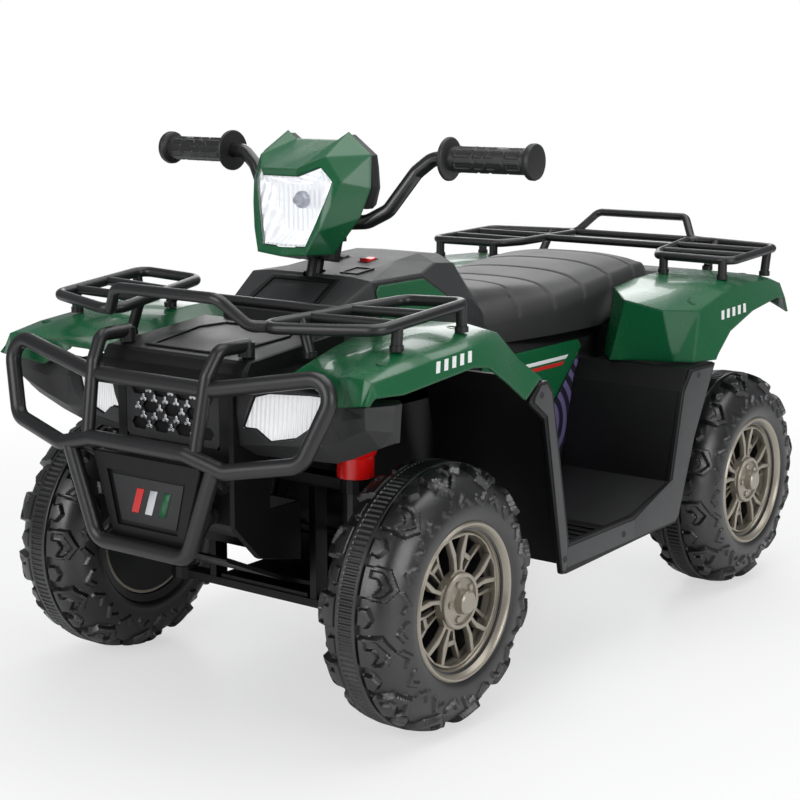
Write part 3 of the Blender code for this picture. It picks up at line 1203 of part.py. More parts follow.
def tank_panels():
    """Green plates on the flat facets of the dash cover's sides."""
    foot = DASH_STATIONS[1][4]
    crease = DASH_STATIONS[1][3]
    origin = (foot[0], FRONT_Y, foot[1])
    up = (crease[0] - foot[0], 0.0, crease[1] - foot[1])
    place = frame_of((0.0, 1.0, 0.0), up, origin)
    outline = [(0.0905, 0.0060), (0.0905, 0.0440), (0.0980, 0.0500), (0.1870, 0.0500), (0.2390, 0.0175), (0.2390, 0.0060)]
    left = plate("tank_panel", outline, (GAP, GAP + 0.0022), place, material=green(), bevel=0.0006)
    both_sides(left, "tank_panel")


def switches():
    """Rockers that tip about their middles in the dash's pockets."""
    y = SWITCH_Y
    z = SWITCH_PIVOT_Z
    half_x, half_y = SWITCH_HALF
    outline = [(y - half_y, z + 0.0062), (y - half_y, z - 0.0020), (y - 0.0050, z - 0.0080), (y + 0.0050, z - 0.0080),
               (y + half_y, z - 0.0020), (y + half_y, z + 0.0062), (y, z + 0.0042)]
    for name, side, material in (("power_switch", 1.0, finish("red_plastic", RED, 0.3)), ("direction_switch", -1.0, grey())):
        x = side * SWITCH_X
        rocker = plate(name, outline, (x - half_x, x + half_x), SIDE, material=material)
        set_pivot(rocker, (x, y, z))


# Seat: moulded pad with a crown, drawn-in sides and curved crease channels

SEAT_FRONT_Y = FRONT_Y + 0.3245 + GAP
SEAT_BACK_Y = REAR_Y + 0.0125
SEAT_WIDTHS = ((0.0, 0.0980), (0.09, 0.1100), (0.21, 0.1190), (0.35, 0.1270), (0.50, 0.1305), (0.70, SEAT_HALF),
               (0.82, 0.1290), (0.92, 0.1240), (0.97, 0.1150), (1.0, 0.0980))
SEAT_CROWN = ((0.0, 0.4560), (0.04, 0.4610), (0.21, 0.4600), (0.35, 0.4575), (0.50, 0.4620), (0.70, 0.4700),
              (0.84, 0.4745), (0.92, 0.4740), (0.97, 0.4700), (1.0, 0.4620))
SEAT_EDGE = ((0.0, 0.4230), (0.10, 0.4265), (0.21, 0.4300), (0.35, 0.4340), (0.50, 0.4410), (0.70, 0.4510),
             (0.84, 0.4560), (0.94, 0.4570), (1.0, 0.4530))
SEAT_CREASES = (0.17, 0.34, 0.51, 0.68, 0.85)
CREASE_DEPTH = 0.0035
CREASE_HALF = 0.0060


def seat_base(y):
    """Underside of the seat: the centre body's top, then the rear deck's slope."""
    table = ((REAR_Y - 0.1450, CENTRE_TOP_Z), (REAR_Y - 0.0775, 0.3996), (REAR_Y - 0.0225, 0.4246),
             (REAR_Y + 0.0075, 0.4396), (REAR_Y + 0.0205, 0.4455))
    return between(table, y) + 0.0006


def seat_section(share, dip):
    length = SEAT_BACK_Y - SEAT_FRONT_Y
    half = between(SEAT_WIDTHS, share)
    crown = between(SEAT_CROWN, share)
    edge = between(SEAT_EDGE, share)
    y = SEAT_FRONT_Y + share * length
    base = seat_base(y)
    waist = base + 0.30 * (edge - base)
    row = ((0.0, crown, 1.0), (0.36 * half, crown - 0.0008, 0.93), (0.66 * half, crown - 0.0045, 0.70),
           (half - 0.0200, edge + 0.45 * (crown - edge), 0.42), (half - 0.0085, edge + 0.0040, 0.28),
           (half - 0.0010, edge - 0.0080, 0.12), (half, base + 0.62 * (edge - base), 0.0), (half - 0.0035, waist, 0.0),
           (half - 0.0050, base + 0.0020, 0.0), (half - 0.0080, base, 0.0), (0.50 * half, base, 0.0), (0.0, base, 0.0))
    bow = 0.026 * min(1.0, share / 0.12) * min(1.0, (1.0 - share) / 0.04)
    points = []
    for i, (x, z, pull) in enumerate(row):
        sunk = dip if i < 6 else 0.0
        inward = 0.0
        if 3 <= i < 7:
            inward = 0.6 * dip
        points.append((x - inward if x > 0.0 else 0.0, y + bow * (pull - 0.5) if pull > 0.0 else y, z - sunk))
    return points + [(-x, b, z) for x, b, z in points[-2:0:-1]]


def seat():
    length = SEAT_BACK_Y - SEAT_FRONT_Y
    rows = [(0.0, 0.0), (0.02, 0.0), (0.06, 0.0), (0.96, 0.0), (0.985, 0.0), (1.0, 0.0)]
    rows += [(share, 0.0) for share in (0.105, 0.255, 0.425, 0.595, 0.765, 0.925)]
    for share in SEAT_CREASES:
        reach = CREASE_HALF / length
        rows += [(share - reach, 0.0), (share, CREASE_DEPTH), (share + reach, 0.0)]
    sections = [seat_section(share, dip) for share, dip in sorted(rows)]
    thing = loft("seat", sections, finish("seat_vinyl", (0.015, 0.015, 0.015), 0.6))
    smooth(thing, 40.0)


def hang(names, pivot, point):
    """Parent the pieces that turn together to an empty on their axis."""
    empty = bpy.data.objects.new(pivot, None)
    empty.location = point
    parts.objects.link(empty)
    bpy.context.view_layer.update()
    for name in names:
        thing = bpy.data.objects[name]
        thing.parent = empty
        thing.matrix_parent_inverse = empty.matrix_world.inverted()


clear_scene()
wheels()
front_subframe()
knuckles()
tie_rod()
strut_caps()
chassis_tub()
centre_body()
foot_wells()
accelerator_pedal()
side_panels()
gear_motors()
inner_works()
steering_column()
handlebar()
grips()
head()
head_housing()
front_body()
grille()
front_cheeks()
headlamps()
front_bumper()
bumper_plate()
fenders()
rear_deck()
dash_cover()
tank_panels()
switches()
seat()
front_rack()
rear_rack()
hang(("handlebar", "grip_left", "grip_right", "head_mask", "head_housing", "head_lens", "head_reflector"),
     "steering_axis", tuple(on_column(0.2500)))
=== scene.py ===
from math import cos, exp, pi, radians, sin, tan

import bmesh
import bpy
import numpy as np
from mathutils import Matrix, Vector
from mathutils.bvhtree import BVHTree


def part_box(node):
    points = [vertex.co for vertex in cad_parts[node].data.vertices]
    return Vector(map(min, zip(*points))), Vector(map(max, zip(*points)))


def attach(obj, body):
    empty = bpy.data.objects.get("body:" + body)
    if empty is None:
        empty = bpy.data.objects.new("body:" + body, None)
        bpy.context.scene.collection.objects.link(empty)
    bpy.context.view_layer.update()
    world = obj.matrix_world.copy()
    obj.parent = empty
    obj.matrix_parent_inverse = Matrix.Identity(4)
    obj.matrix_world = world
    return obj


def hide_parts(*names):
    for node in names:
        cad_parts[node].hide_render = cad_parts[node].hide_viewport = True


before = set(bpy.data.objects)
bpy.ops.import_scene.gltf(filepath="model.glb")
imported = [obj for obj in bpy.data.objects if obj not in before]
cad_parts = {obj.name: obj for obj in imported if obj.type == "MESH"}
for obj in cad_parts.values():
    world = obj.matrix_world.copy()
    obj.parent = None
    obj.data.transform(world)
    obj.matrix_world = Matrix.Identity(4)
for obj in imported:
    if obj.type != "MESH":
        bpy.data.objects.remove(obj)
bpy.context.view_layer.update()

# Tyres: hollow blow-moulded black plastic, one seamless ring pressed over each rim.
# A ribbed band runs round the middle between two rows of chevron lugs, with small hooks on the walls.
SIDES = {"left": 1.0, "right": -1.0}
ENDS = ("front", "rear")
FULL_TURN = 2.0 * pi
HALF_TRACK = 0.245
TYRE_RADIUS = 0.155
PITCH_RADIUS = 0.15
LUG_PITCHES = 12
STEPS_PER_PITCH = 48
TYRE_STEPS = LUG_PITCHES * STEPS_PER_PITCH
PITCH_LENGTH = FULL_TURN * PITCH_RADIUS / LUG_PITCHES
CARCASS = ((0.015, 0.1478), (0.025, 0.1462), (0.035, 0.1428), (0.043, 0.136), (0.05, 0.126),
           (0.0538, 0.115), (0.055, 0.106), (0.0543, 0.0985), (0.052, 0.093), (0.049, 0.0905))
CARCASS_STEP = 0.0018
INNER_BEAD = (0.046, 0.0815)
BAND = (*[(across, TYRE_RADIUS) for across in (0.0, 0.005, 0.009, 0.0097, 0.0128)], (0.0137, 0.1545),
        (0.0143, 0.151))
SLOT_DEPTH = 0.0016
SLOT_REACH = 0.0093
SLOT_PITCH = 4
SLOT_WIDTH = 2
LUG = ((0.0, -0.017), (0.027, -0.019), (0.04, 0.003), (0.028, 0.02), (0.0, 0.017))
LUG_POCKET = ((0.0085, -0.0125), (0.0205, -0.0135), (0.032, 0.003), (0.0225, 0.015), (0.015, 0.0145),
              (0.0215, 0.003), (0.0165, -0.005), (0.0085, -0.005))
SMALL_LUG = ((0.0, -0.009), (0.011, -0.01), (0.017, 0.001), (0.01, 0.011), (0.0, 0.009))
HOOK = ((0.0425, -0.0125), (0.048, -0.0155), (0.0612, 0.0005), (0.052, 0.0145), (0.0465, 0.0115),
        (0.0532, 0.0005))
LUG_HEIGHT = 0.0068
LUG_PLACES = {1.0: 0.32, -1.0: 0.82}
LUG_FLANK = 0.0018
POCKET_SHARE = 0.68
SMALL_LUG_SHARE = 0.9
HOOK_HEIGHT = 0.0031
HOOK_PLACES = ((0.25, False), (0.75, True))
HOOK_SPAN = 0.103
FINE_FLANK = 0.0014
EASING_STEPS = 12
SAME_POINT = 0.000004
SLIVER = 0.000002


class Wire:
    """A node's output: arithmetic written on it adds the Math nodes."""

    def __init__(self, nodes, socket):
        self.nodes = nodes
        self.socket = socket

    def math(self, operation, first, second):
        return self.nodes.node("ShaderNodeMath", {"operation": operation}, {0: first, 1: second})

    def __add__(self, other):
        return self.math("ADD", self, other)

    def __radd__(self, other):
        return self.math("ADD", other, self)

    def __mul__(self, other):
        return self.math("MULTIPLY", self, other)

    def __rmul__(self, other):
        return self.math("MULTIPLY", other, self)


class Nodes:
    """A node tree, and the one method that adds a node to it."""

    def __init__(self, tree):
        self.tree = tree

    def node(self, kind, settings=None, inputs=None, output=0):
        made = self.tree.nodes.new(kind)
        for key, value in (settings or {}).items():
            if key == "stops":
                for stop, (place, shade) in zip(made.color_ramp.elements, value):
                    stop.position = place
                    stop.color = (shade, shade, shade, 1.0)
            else:
                setattr(made, key, value)
        for key, value in (inputs or {}).items():
            self.join(made.inputs[key], value)
        return Wire(self, made.outputs[output])

    def join(self, socket, value):
        if isinstance(value, Wire):
            self.tree.links.new(value.socket, socket)
        else:
            socket.default_value = value


class Finish(Nodes):
    """A Principled material: even inputs are set, varying ones are fed by nodes."""

    def __init__(self, name, **even):
        self.material = bpy.data.materials.new(name)
        self.material.use_nodes = True
        super().__init__(self.material.node_tree)
        self.shader = self.tree.nodes["Principled BSDF"]
        for label, value in even.items():
            self.shader.inputs[label.replace("_", " ")].default_value = value

    def feed(self, label, value):
        self.join(self.shader.inputs[label], value)
        return self

    def place(self):
        return self.node("ShaderNodeTexCoord", output="Object")

    def noise(self, scale, detail):
        return self.node("ShaderNodeTexNoise", {}, {"Vector": self.place(), "Scale": scale, "Detail": detail})

    def tint(self, mask, first, second):
        """Base colour between two shades by a mask. Sockets 6 and 7 of a colour mix are its colours."""
        mixed = self.node("ShaderNodeMix", {"data_type": "RGBA"},
                          {0: mask, 6: (*first, 1.0), 7: (*second, 1.0)}, output=2)
        return self.feed("Base Color", mixed)

    def shades(self, scale, first, second, detail=3.0):
        """Base colour that drifts between two shades."""
        return self.tint(self.noise(scale, detail), first, second)

    def blotches(self, scale, low, high):
        """Roughness that wanders between two values, as on a moulding that has been handled."""
        return self.feed("Roughness", low + (high - low) * self.noise(scale, 4.0))

    def relief(self, height, depth, rounding=0.0):
        """Surface relief of the given depth over edges that the shader rounds."""
        inputs = {"Strength": 1.0, "Distance": depth, "Height": height}
        if rounding > 0.0:
            inputs["Normal"] = self.node("ShaderNodeBevel", {"samples": 4}, {"Radius": rounding})
        return self.feed("Normal", self.node("ShaderNodeBump", {}, inputs))

    def grain(self, scale, depth, rounding=0.0):
        """The fine grain of a mould's wall or a film."""
        return self.relief(self.noise(scale, 2.0), depth, rounding)


def wheel_centre(end, side):
    low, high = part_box(f"rim_{end}_{side}")
    return Vector((SIDES[side] * HALF_TRACK, (low[1] + high[1]) / 2.0, (low[2] + high[2]) / 2.0))


def linked(name, data):
    thing = bpy.data.objects.new(name, data)
    bpy.context.scene.collection.objects.link(thing)
    return thing


def declared(thing, body, replaced):
    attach(thing, body)
    if replaced:
        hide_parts(*replaced)
    return thing


def piece(name, shape, finish, replaced=(), body="chassis", crease=35.0):
    """A mesh piece from (vertices, faces), facing out, smooth but for its creases."""
    vertices, faces = shape
    mesh = bpy.data.meshes.new(name)
    mesh.from_pydata([tuple(v) for v in vertices], [], faces)
    work = bmesh.new()
    work.from_mesh(mesh)
    bmesh.ops.remove_doubles(work, verts=work.verts, dist=SAME_POINT)
    bmesh.ops.dissolve_degenerate(work, edges=work.edges, dist=SLIVER)
    bmesh.ops.recalc_face_normals(work, faces=work.faces)
    work.to_mesh(mesh)
    work.free()
    mesh.materials.append(finish.material)
    mesh.shade_smooth()
    mesh.set_sharp_from_angle(angle=radians(crease))
    return declared(linked(name, mesh), body, replaced)


def wrapped(rows, columns):
    """Faces of a grid of points that closes on itself both ways."""
    faces = []
    for i in range(rows):
        a = i * columns
        b = (i + 1) % rows * columns
        faces += [(a + j, a + (j + 1) % columns, b + (j + 1) % columns, b + j) for j in range(columns)]
    return faces


def inside(outline, s, t, edge):
    """1 within a flat outline and 0 beyond it, with a ramp of the given width at its edge."""
    within = np.zeros(s.shape, bool)
    nearest = np.full(s.shape, 1.0)
    for (a, b), (c, d) in zip(outline, outline[1:] + outline[:1]):
        if abs(d - b) > 1e-9:
            within ^= ((b > t) != (d > t)) & (s < (c - a) * (t - b) / (d - b) + a)
        share = np.clip(((s - a) * (c - a) + (t - b) * (d - b)) / ((c - a) ** 2 + (d - b) ** 2), 0.0, 1.0)
        nearest = np.minimum(nearest, np.hypot(s - a - share * (c - a), t - b - share * (d - b)))
    return np.clip(0.5 + np.where(within, nearest, -nearest) / edge, 0.0, 1.0)


def eased(points, spacing):
    """Even steps along a smooth line through the points, and how far along it each lies."""
    line = np.array(points)
    dense = []
    for i in range(len(line) - 1):
        before, here, after = line[max(i - 1, 0)], line[i], line[i + 1]
        beyond = line[min(i + 2, len(line) - 1)]
        for u in np.linspace(0.0, 1.0, EASING_STEPS, endpoint=False):
            dense.append(0.5 * (2 * here + (after - before) * u
                                + (2 * before - 5 * here + 4 * after - beyond) * u ** 2
                                + (3 * here - before - 3 * after + beyond) * u ** 3))
    dense = np.array(dense + [line[-1]])
    along = np.concatenate(([0.0], np.cumsum(np.linalg.norm(np.diff(dense, axis=0), axis=1))))
    count = max(2, int(round(along[-1] / spacing)) + 1)
    wanted = np.linspace(0.0, along[-1], count)
    return np.stack([np.interp(wanted, along, dense[:, k]) for k in range(line.shape[1])], axis=1), wanted


def lug_relief(s, t):
    """Height of the lugs and hooks, by the place along the wall and round the tyre."""
    height = LUG_HEIGHT * (inside(LUG, s, t, LUG_FLANK) - POCKET_SHARE * inside(LUG_POCKET, s, t, FINE_FLANK))
    half = PITCH_LENGTH / 2.0
    other = (t + 2.0 * half) % (2.0 * half) - half
    height += SMALL_LUG_SHARE * LUG_HEIGHT * inside(SMALL_LUG, s, other, LUG_FLANK)
    for shift, turned_back in HOOK_PLACES:
        here = (t - shift * PITCH_LENGTH + half) % (2.0 * half) - half
        height += HOOK_HEIGHT * inside(HOOK, HOOK_SPAN - s if turned_back else s, here, FINE_FLANK)
    return height


def tyre_rows(hand):
    """Positions across one half of the tyre for a full turn, with the relief laid on."""
    carcass, along = eased(CARCASS, CARCASS_STEP)
    slope = np.gradient(carcass, axis=0)
    normal = np.stack([-slope[:, 1], slope[:, 0]], axis=1)
    normal /= np.linalg.norm(normal, axis=1)[:, None]
    steps = np.arange(TYRE_STEPS)
    t = ((steps / STEPS_PER_PITCH - LUG_PLACES[hand] + 0.5) % 1.0 - 0.5) * PITCH_LENGTH
    rows = []
    for across, radius in BAND:
        slot = (steps % SLOT_PITCH < SLOT_WIDTH) & (across < SLOT_REACH)
        rows.append((np.full(TYRE_STEPS, across), radius - SLOT_DEPTH * slot))
    for (across, radius), (lean_a, lean_r), s in zip(carcass, normal, along):
        height = lug_relief(np.full(TYRE_STEPS, s), t)
        rows.append((across + lean_a * height, radius + lean_r * height))
    rows.append([np.full(TYRE_STEPS, value) for value in INNER_BEAD])
    return [(hand * across, radius) for across, radius in rows]


def tyre_shape(centre, sign):
    rows = tyre_rows(-1.0)[:0:-1] + tyre_rows(1.0)
    angle = -FULL_TURN / 4.0 + FULL_TURN * np.arange(TYRE_STEPS) / TYRE_STEPS
    vertices = []
    for across, radius in rows:
        vertices += zip(centre[0] + sign * across, centre[1] + radius * np.cos(angle),
                        centre[2] + radius * np.sin(angle))
    return vertices, wrapped(len(rows), TYRE_STEPS)


tyre_finish = Finish("tyre_plastic", Specular_IOR_Level=0.8)
tyre_finish.shades(38.0, (0.006, 0.006, 0.006), (0.0105, 0.0104, 0.0102), 4.0)
tyre_finish.blotches(60.0, 0.26, 0.37).grain(900.0, 0.00018)
for end in ENDS:
    for side, sign in SIDES.items():
        piece(f"lugged_tyre_{end}_{side}", tyre_shape(wheel_centre(end, side), sign), tyre_finish,
              [f"tyre_{end}_{side}"], f"wheel_{end}_{side}", crease=28.0)

# Wheel rims: bronze-painted plastic discs with five forked spokes, pressed into the tyres.
# A ring of five bolts surrounds the centre cap, and a black pan closes each rim on its inner side.
RIM_FACE = 0.042
RIM_THICKNESS = 0.0085
RIM_EDGE = 0.078
RIM_LIP = ((0.0868, 0.0522), (0.0885, 0.0535), (0.0905, 0.0535), (0.0925, 0.0512), (0.0905, 0.048),
           (0.0812, 0.044), (0.08, -0.044), (0.0765, -0.044), (0.0765, 0.034), (0.079, 0.039),
           (0.0855, 0.0492))
RIM_HUB = ((0.0, 0.0572), (0.0118, 0.0572), (0.0136, 0.0554), (0.0148, 0.0462), (0.0272, 0.044),
           (0.028, 0.0468), (0.0318, 0.0468), (0.033, 0.0452), (0.0335, 0.032), (0.0058, 0.032),
           (0.0058, 0.0516), (0.0, 0.0516))
SPOKES = 5
NARROW_WINDOW = ((0.036, -4.0), (0.056, -5.0), (0.0745, -10.5), (0.076, 0.0), (0.0745, 10.5), (0.056, 5.0),
                 (0.036, 4.0))
WIDE_WINDOW = ((0.036, -24.0), (0.05, -25.5), (0.0745, -21.5), (0.0758, -11.0), (0.0762, 0.0),
               (0.0758, 11.0), (0.0745, 21.5), (0.05, 25.5), (0.036, 24.0))
FORK = ((0.03, 4.0), (0.03, 9.0), (0.052, 9.5), (0.076, 14.0), (0.0765, 10.5), (0.052, 5.5))
FORK_DEPTH = (RIM_FACE - 0.017, RIM_FACE - 0.01)
TIE = ((0.05, -7.0), (0.056, -6.5), (0.056, 6.5), (0.05, 7.0))
TIE_DEPTH = (RIM_FACE - 0.0175, RIM_FACE - 0.0095)
BOLT = ((0.0, 0.0482), (0.0034, 0.048), (0.0042, 0.047), (0.0045, 0.0425), (0.0, 0.0425))
BOLT_CIRCLE = 0.0208
PAN = ((0.0764, -0.0445), (0.0764, -0.0415), (0.04, -0.037), (0.014, -0.037), (0.014, -0.04), (0.04, -0.04))
BARREL = ((0.0764, 0.025), (0.0764, -0.044), (0.0745, -0.044), (0.0745, 0.025))


X_AXIS = (1.0, 0.0, 0.0)
Y_AXIS = (0.0, 1.0, 0.0)
Z_AXIS = (0.0, 0.0, 1.0)


def frame_of(first, second, origin=(0.0, 0.0, 0.0)):
    """A frame on two directions: outlines lie in its first two axes and grow along the third."""
    a = Vector(first).normalized()
    c = a.cross(Vector(second)).normalized()
    matrix = Matrix((a, c.cross(a), c)).transposed().to_4x4()
    matrix.translation = Vector(origin)
    return matrix


SIDE = frame_of(Y_AXIS, Z_AXIS)


def turned(profile, steps, place):
    """Turn a closed (radius, height) profile about the frame's third axis."""
    vertices = []
    for k in range(steps):
        angle = FULL_TURN * k / steps
        for radius, height in profile:
            vertices.append(place @ Vector((radius * cos(angle), radius * sin(angle), height)))
    return vertices, wrapped(steps, len(profile))


def joined(shapes):
    vertices = []
    faces = []
    for more, rings in shapes:
        start = len(vertices)
        vertices += list(more)
        faces += [tuple(start + i for i in ring) for ring in rings]
    return vertices, faces


def plate(outline, depth, place, holes=(), rounding=0.0005):
    """A flat plate with rounded edges, cut through by its holes."""
    curve = bpy.data.curves.new("outline", "CURVE")
    curve.dimensions = "2D"
    curve.fill_mode = "BOTH"
    curve.extrude = (depth[1] - depth[0]) / 2.0 - rounding
    curve.bevel_depth = rounding
    curve.bevel_resolution = 2
    curve.offset = -rounding
    for loop in [outline, *holes]:
        spline = curve.splines.new("POLY")
        spline.points.add(len(loop) - 1)
        for point, (u, v) in zip(spline.points, loop):
            point.co = (u, v, 0.0, 1.0)
        spline.use_cyclic_u = True
    thing = linked("outline", curve)
    graph = bpy.context.evaluated_depsgraph_get()
    mesh = bpy.data.meshes.new_from_object(thing.evaluated_get(graph), depsgraph=graph)
    move = place @ Matrix.Translation((0.0, 0.0, (depth[0] + depth[1]) / 2.0))
    shape = [move @ v.co for v in mesh.vertices], [tuple(p.vertices) for p in mesh.polygons]
    bpy.data.objects.remove(thing, do_unlink=True)
    bpy.data.meshes.remove(mesh)
    return shape


def polar(corners, middle):
    """Corners given as (radius, degrees from the middle angle)."""
    return [(r * cos(middle + radians(a)), r * sin(middle + radians(a)))
            for r, a in corners]


def rim_shape():
    """A left rim about the wheel's centre, its face outwards."""
    holes = []
    struts = []
    for k in range(SPOKES):
        middle = FULL_TURN / 4.0 + FULL_TURN * k / SPOKES
        between = middle + FULL_TURN / 2.0 / SPOKES
        holes += [polar(NARROW_WINDOW, middle), polar(WIDE_WINDOW, between)]
        for turn in (-1.0, 1.0):
            fork = polar([(r, a * turn) for r, a in FORK], between)
            struts.append(plate(fork[::int(turn)], FORK_DEPTH, SIDE))
        struts.append(plate(polar(TIE, between), TIE_DEPTH, SIDE))
    edge = polar([(RIM_EDGE, 5.0 * k) for k in range(72)], 0.0)
    face = plate(edge, (RIM_FACE - RIM_THICKNESS, RIM_FACE), SIDE, holes, rounding=0.0012)
    bolts = []
    for k in range(SPOKES):
        a = FULL_TURN * (k + 0.5) / SPOKES
        place = Matrix.Translation((BOLT_CIRCLE * cos(a), BOLT_CIRCLE * sin(a), 0.0))
        bolts.append(turned(BOLT, 6, SIDE @ place))
    return joined([face, turned(RIM_LIP, 96, SIDE), turned(RIM_HUB, 40, SIDE), *bolts, *struts])


def on_wheel(shape, centre, sign):
    """Carry a shape to its wheel, with its outer face away from the chassis."""
    vertices, faces = shape
    return [(centre[0] + sign * x, centre[1] + y, centre[2] + z) for x, y, z in vertices], faces


bronze = Finish("bronze_paint", Metallic=0.6, Coat_Weight=0.25, Coat_Roughness=0.25)
bronze.shades(420.0, (0.31, 0.278, 0.226), (0.39, 0.354, 0.295)).blotches(25.0, 0.30, 0.42)
bronze.grain(700.0, 0.00006)
pan_black = Finish("pan_black", Roughness=0.55, Base_Color=(0.01, 0.01, 0.011, 1.0))
pan_black.grain(500.0, 0.0001)
rim = rim_shape()
pan = joined([turned(PAN, 48, SIDE), turned(BARREL, 48, SIDE)])
for end in ENDS:
    for side, sign in SIDES.items():
        centre = wheel_centre(end, side)
        body = f"wheel_{end}_{side}"
        piece(f"spoked_rim_{end}_{side}", on_wheel(rim, centre, sign), bronze,
              [f"rim_{end}_{side}", f"hub_cap_{end}_{side}"], body, crease=30.0)
        piece(f"rim_pan_{end}_{side}", on_wheel(pan, centre, sign), pan_black, body=body)

# Chassis, end frames, centre body, foot wells and deck: satin black mouldings, screwed together.
# The rear axle is bare steel, the steering steel is blackened, and motors and battery are dark grey.
front_axle_y = wheel_centre("front", "left").y
rear_axle_y = wheel_centre("rear", "left").y

satin_black = Finish("satin_black_plastic", Specular_IOR_Level=0.28)
satin_black.shades(14.0, (0.003, 0.003, 0.0032), (0.0055, 0.0055, 0.0058))
satin_black.blotches(22.0, 0.34, 0.46).grain(1100.0, 0.0001, rounding=0.0012)
textured_grey = Finish("textured_grey_plastic")
textured_grey.shades(20.0, (0.013, 0.0133, 0.014), (0.02, 0.0205, 0.0215))
textured_grey.blotches(30.0, 0.46, 0.58).grain(1500.0, 0.00022, rounding=0.001)
axle_steel = Finish("bare_steel", Metallic=0.9, Base_Color=(0.42, 0.42, 0.43, 1.0))
axle_steel.blotches(90.0, 0.28, 0.45).grain(800.0, 0.00005)
dark_steel = Finish("blackened_steel", Metallic=0.7, Base_Color=(0.03, 0.03, 0.032, 1.0))
dark_steel.blotches(60.0, 0.32, 0.46).grain(700.0, 0.00006)


def dress(finish, *names):
    """Give carried-over CAD nodes their finish."""
    for name in names:
        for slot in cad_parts[name].material_slots:
            slot.material = finish.material


def pair(*names):
    return [f"{name}_{side}" for name in names for side in SIDES]


dress(satin_black, "front_subframe", "chassis_tub", "centre_body", *pair("foot_well"), "rear_deck",
      "front_body", "bumper_plate", "steering_column")
dress(textured_grey, *pair("gear_motor", "front_cheek"), "battery", "control_box", "accelerator_pedal",
      "grille", "direction_switch", "dash_cover", "head_housing")
dress(axle_steel, "rear_axle")
dress(dark_steel, *pair("knuckle"), "tie_rod")

# Foot wells: ribbed treads stand on each floor, and a grey trim with screws lines the outer guard.
# The treads are moulded with the floor, and the trim is a separate textured strip on the guard's face.
TREAD_COUNT = 8
TREAD_START = -0.108
TREAD_PITCH = 0.019
TREAD_HALF_WIDTH = 0.003
TREAD_INNER = 0.13
TREAD_OUTER = 0.27
TREAD_BESIDE_PEDAL = 0.17
PEDAL_END = -0.01
TREAD_DEPTH = (0.1495, 0.1525)
GUARD_FACE = 0.289
TRIM_DEPTH = (GUARD_FACE - 0.0005, GUARD_FACE + 0.0012)
FRONT_TRIM = ((0.164, 0.378), (0.176, 0.378), (0.187, 0.366), (0.229, 0.169), (0.229, 0.142), (0.225, 0.137),
              (0.219, 0.138), (0.179, 0.339), (0.15, 0.36), (0.151, 0.365))
REAR_TRIM = ((-0.122, 0.34), (-0.183, 0.34), (-0.205, 0.315), (-0.232, 0.199), (-0.332, 0.166),
             (-0.332, 0.14), (-0.222, 0.14), (-0.213, 0.146), (-0.174, 0.248))
SCREW = ((0.0, 0.0009), (0.0012, 0.0005), (0.0034, 0.001), (0.0044, 0.0002), (0.0044, -0.001), (0.0, -0.001))
SCREW_PLACES = ((-0.1841, 0.367), (0.215, 0.334), (0.02, 0.152), (-0.125, 0.152))


def outline_at(points, shift):
    return [(shift + a, b) for a, b in points]


def oblong(left, low, right, high):
    return [(left, low), (right, low), (right, high), (left, high)]


def sided(shape, sign):
    """A left-hand shape, or its mirror for the right side."""
    vertices, faces = shape
    return (vertices if sign > 0.0 else [(-x, y, z) for x, y, z in vertices]), faces


trim_grey = Finish("trim_grey_plastic")
trim_grey.shades(20.0, (0.04, 0.041, 0.042), (0.056, 0.057, 0.058))
trim_grey.blotches(30.0, 0.40, 0.52).grain(1500.0, 0.00022)
bottom_trim = oblong(-0.119, 0.14, 0.0496, 0.1655)
trims = [outline_at(FRONT_TRIM, front_axle_y), bottom_trim, outline_at(REAR_TRIM, rear_axle_y)]
trim = joined([plate(outline, TRIM_DEPTH, SIDE) for outline in trims])
screw_frames = [frame_of(Y_AXIS, Z_AXIS, (GUARD_FACE + 0.001, y, z)) for y, z in SCREW_PLACES]
screws = joined([turned(SCREW, 16, place) for place in screw_frames])
for side, sign in SIDES.items():
    treads = []
    for k in range(TREAD_COUNT):
        y = TREAD_START + TREAD_PITCH * k
        outer = TREAD_BESIDE_PEDAL if side == "right" and y < PEDAL_END else TREAD_OUTER
        bar = oblong(TREAD_INNER, y - TREAD_HALF_WIDTH, outer, y + TREAD_HALF_WIDTH)
        treads.append(plate(bar, TREAD_DEPTH, Matrix.Identity(4), rounding=0.0008))
    piece(f"floor_tread_{side}", sided(joined(treads), sign), satin_black)
    piece(f"guard_trim_{side}", sided(trim, sign), trim_grey)
    piece(f"guard_screws_{side}", sided(screws, sign), pan_black)

# Strut sleeves: gloss red turned plastic caps over the steering pivots, each with a flange and a small tab.
# The rocker for power is moulded in the same red.
KINGPIN_X = 0.139
CAP_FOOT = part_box("strut_cap_left")[0][2]
CAP_PROFILE = ((0.0, 0.0558), (0.0148, 0.0556), (0.0205, 0.047), (0.0232, 0.04), (0.0252, 0.0375),
               (0.0254, 0.03), (0.0238, 0.0262), (0.0222, 0.024), (0.0221, 0.0006), (0.0214, 0.0),
               (0.013, 0.0), (0.013, 0.044), (0.0, 0.044))
CAP_TAB = ((-0.021, -0.005), (-0.037, -0.004), (-0.039, 0.0), (-0.037, 0.004), (-0.021, 0.005))
TAB_DEPTH = (0.025, 0.0275)


def both_sides(*parts, body="chassis", crease=35.0):
    """Left pieces, then right ones: each part is (name, left shape, finish, slot, CAD nodes replaced). The
    slot is not used.
    """
    for side, sign in SIDES.items():
        for name, shape, finish, slot, *nodes in parts:
            replaced = [f"{node}_{side}" for node in nodes]
            piece(f"{name}_{side}", sided(shape, sign), finish, replaced, body, crease)


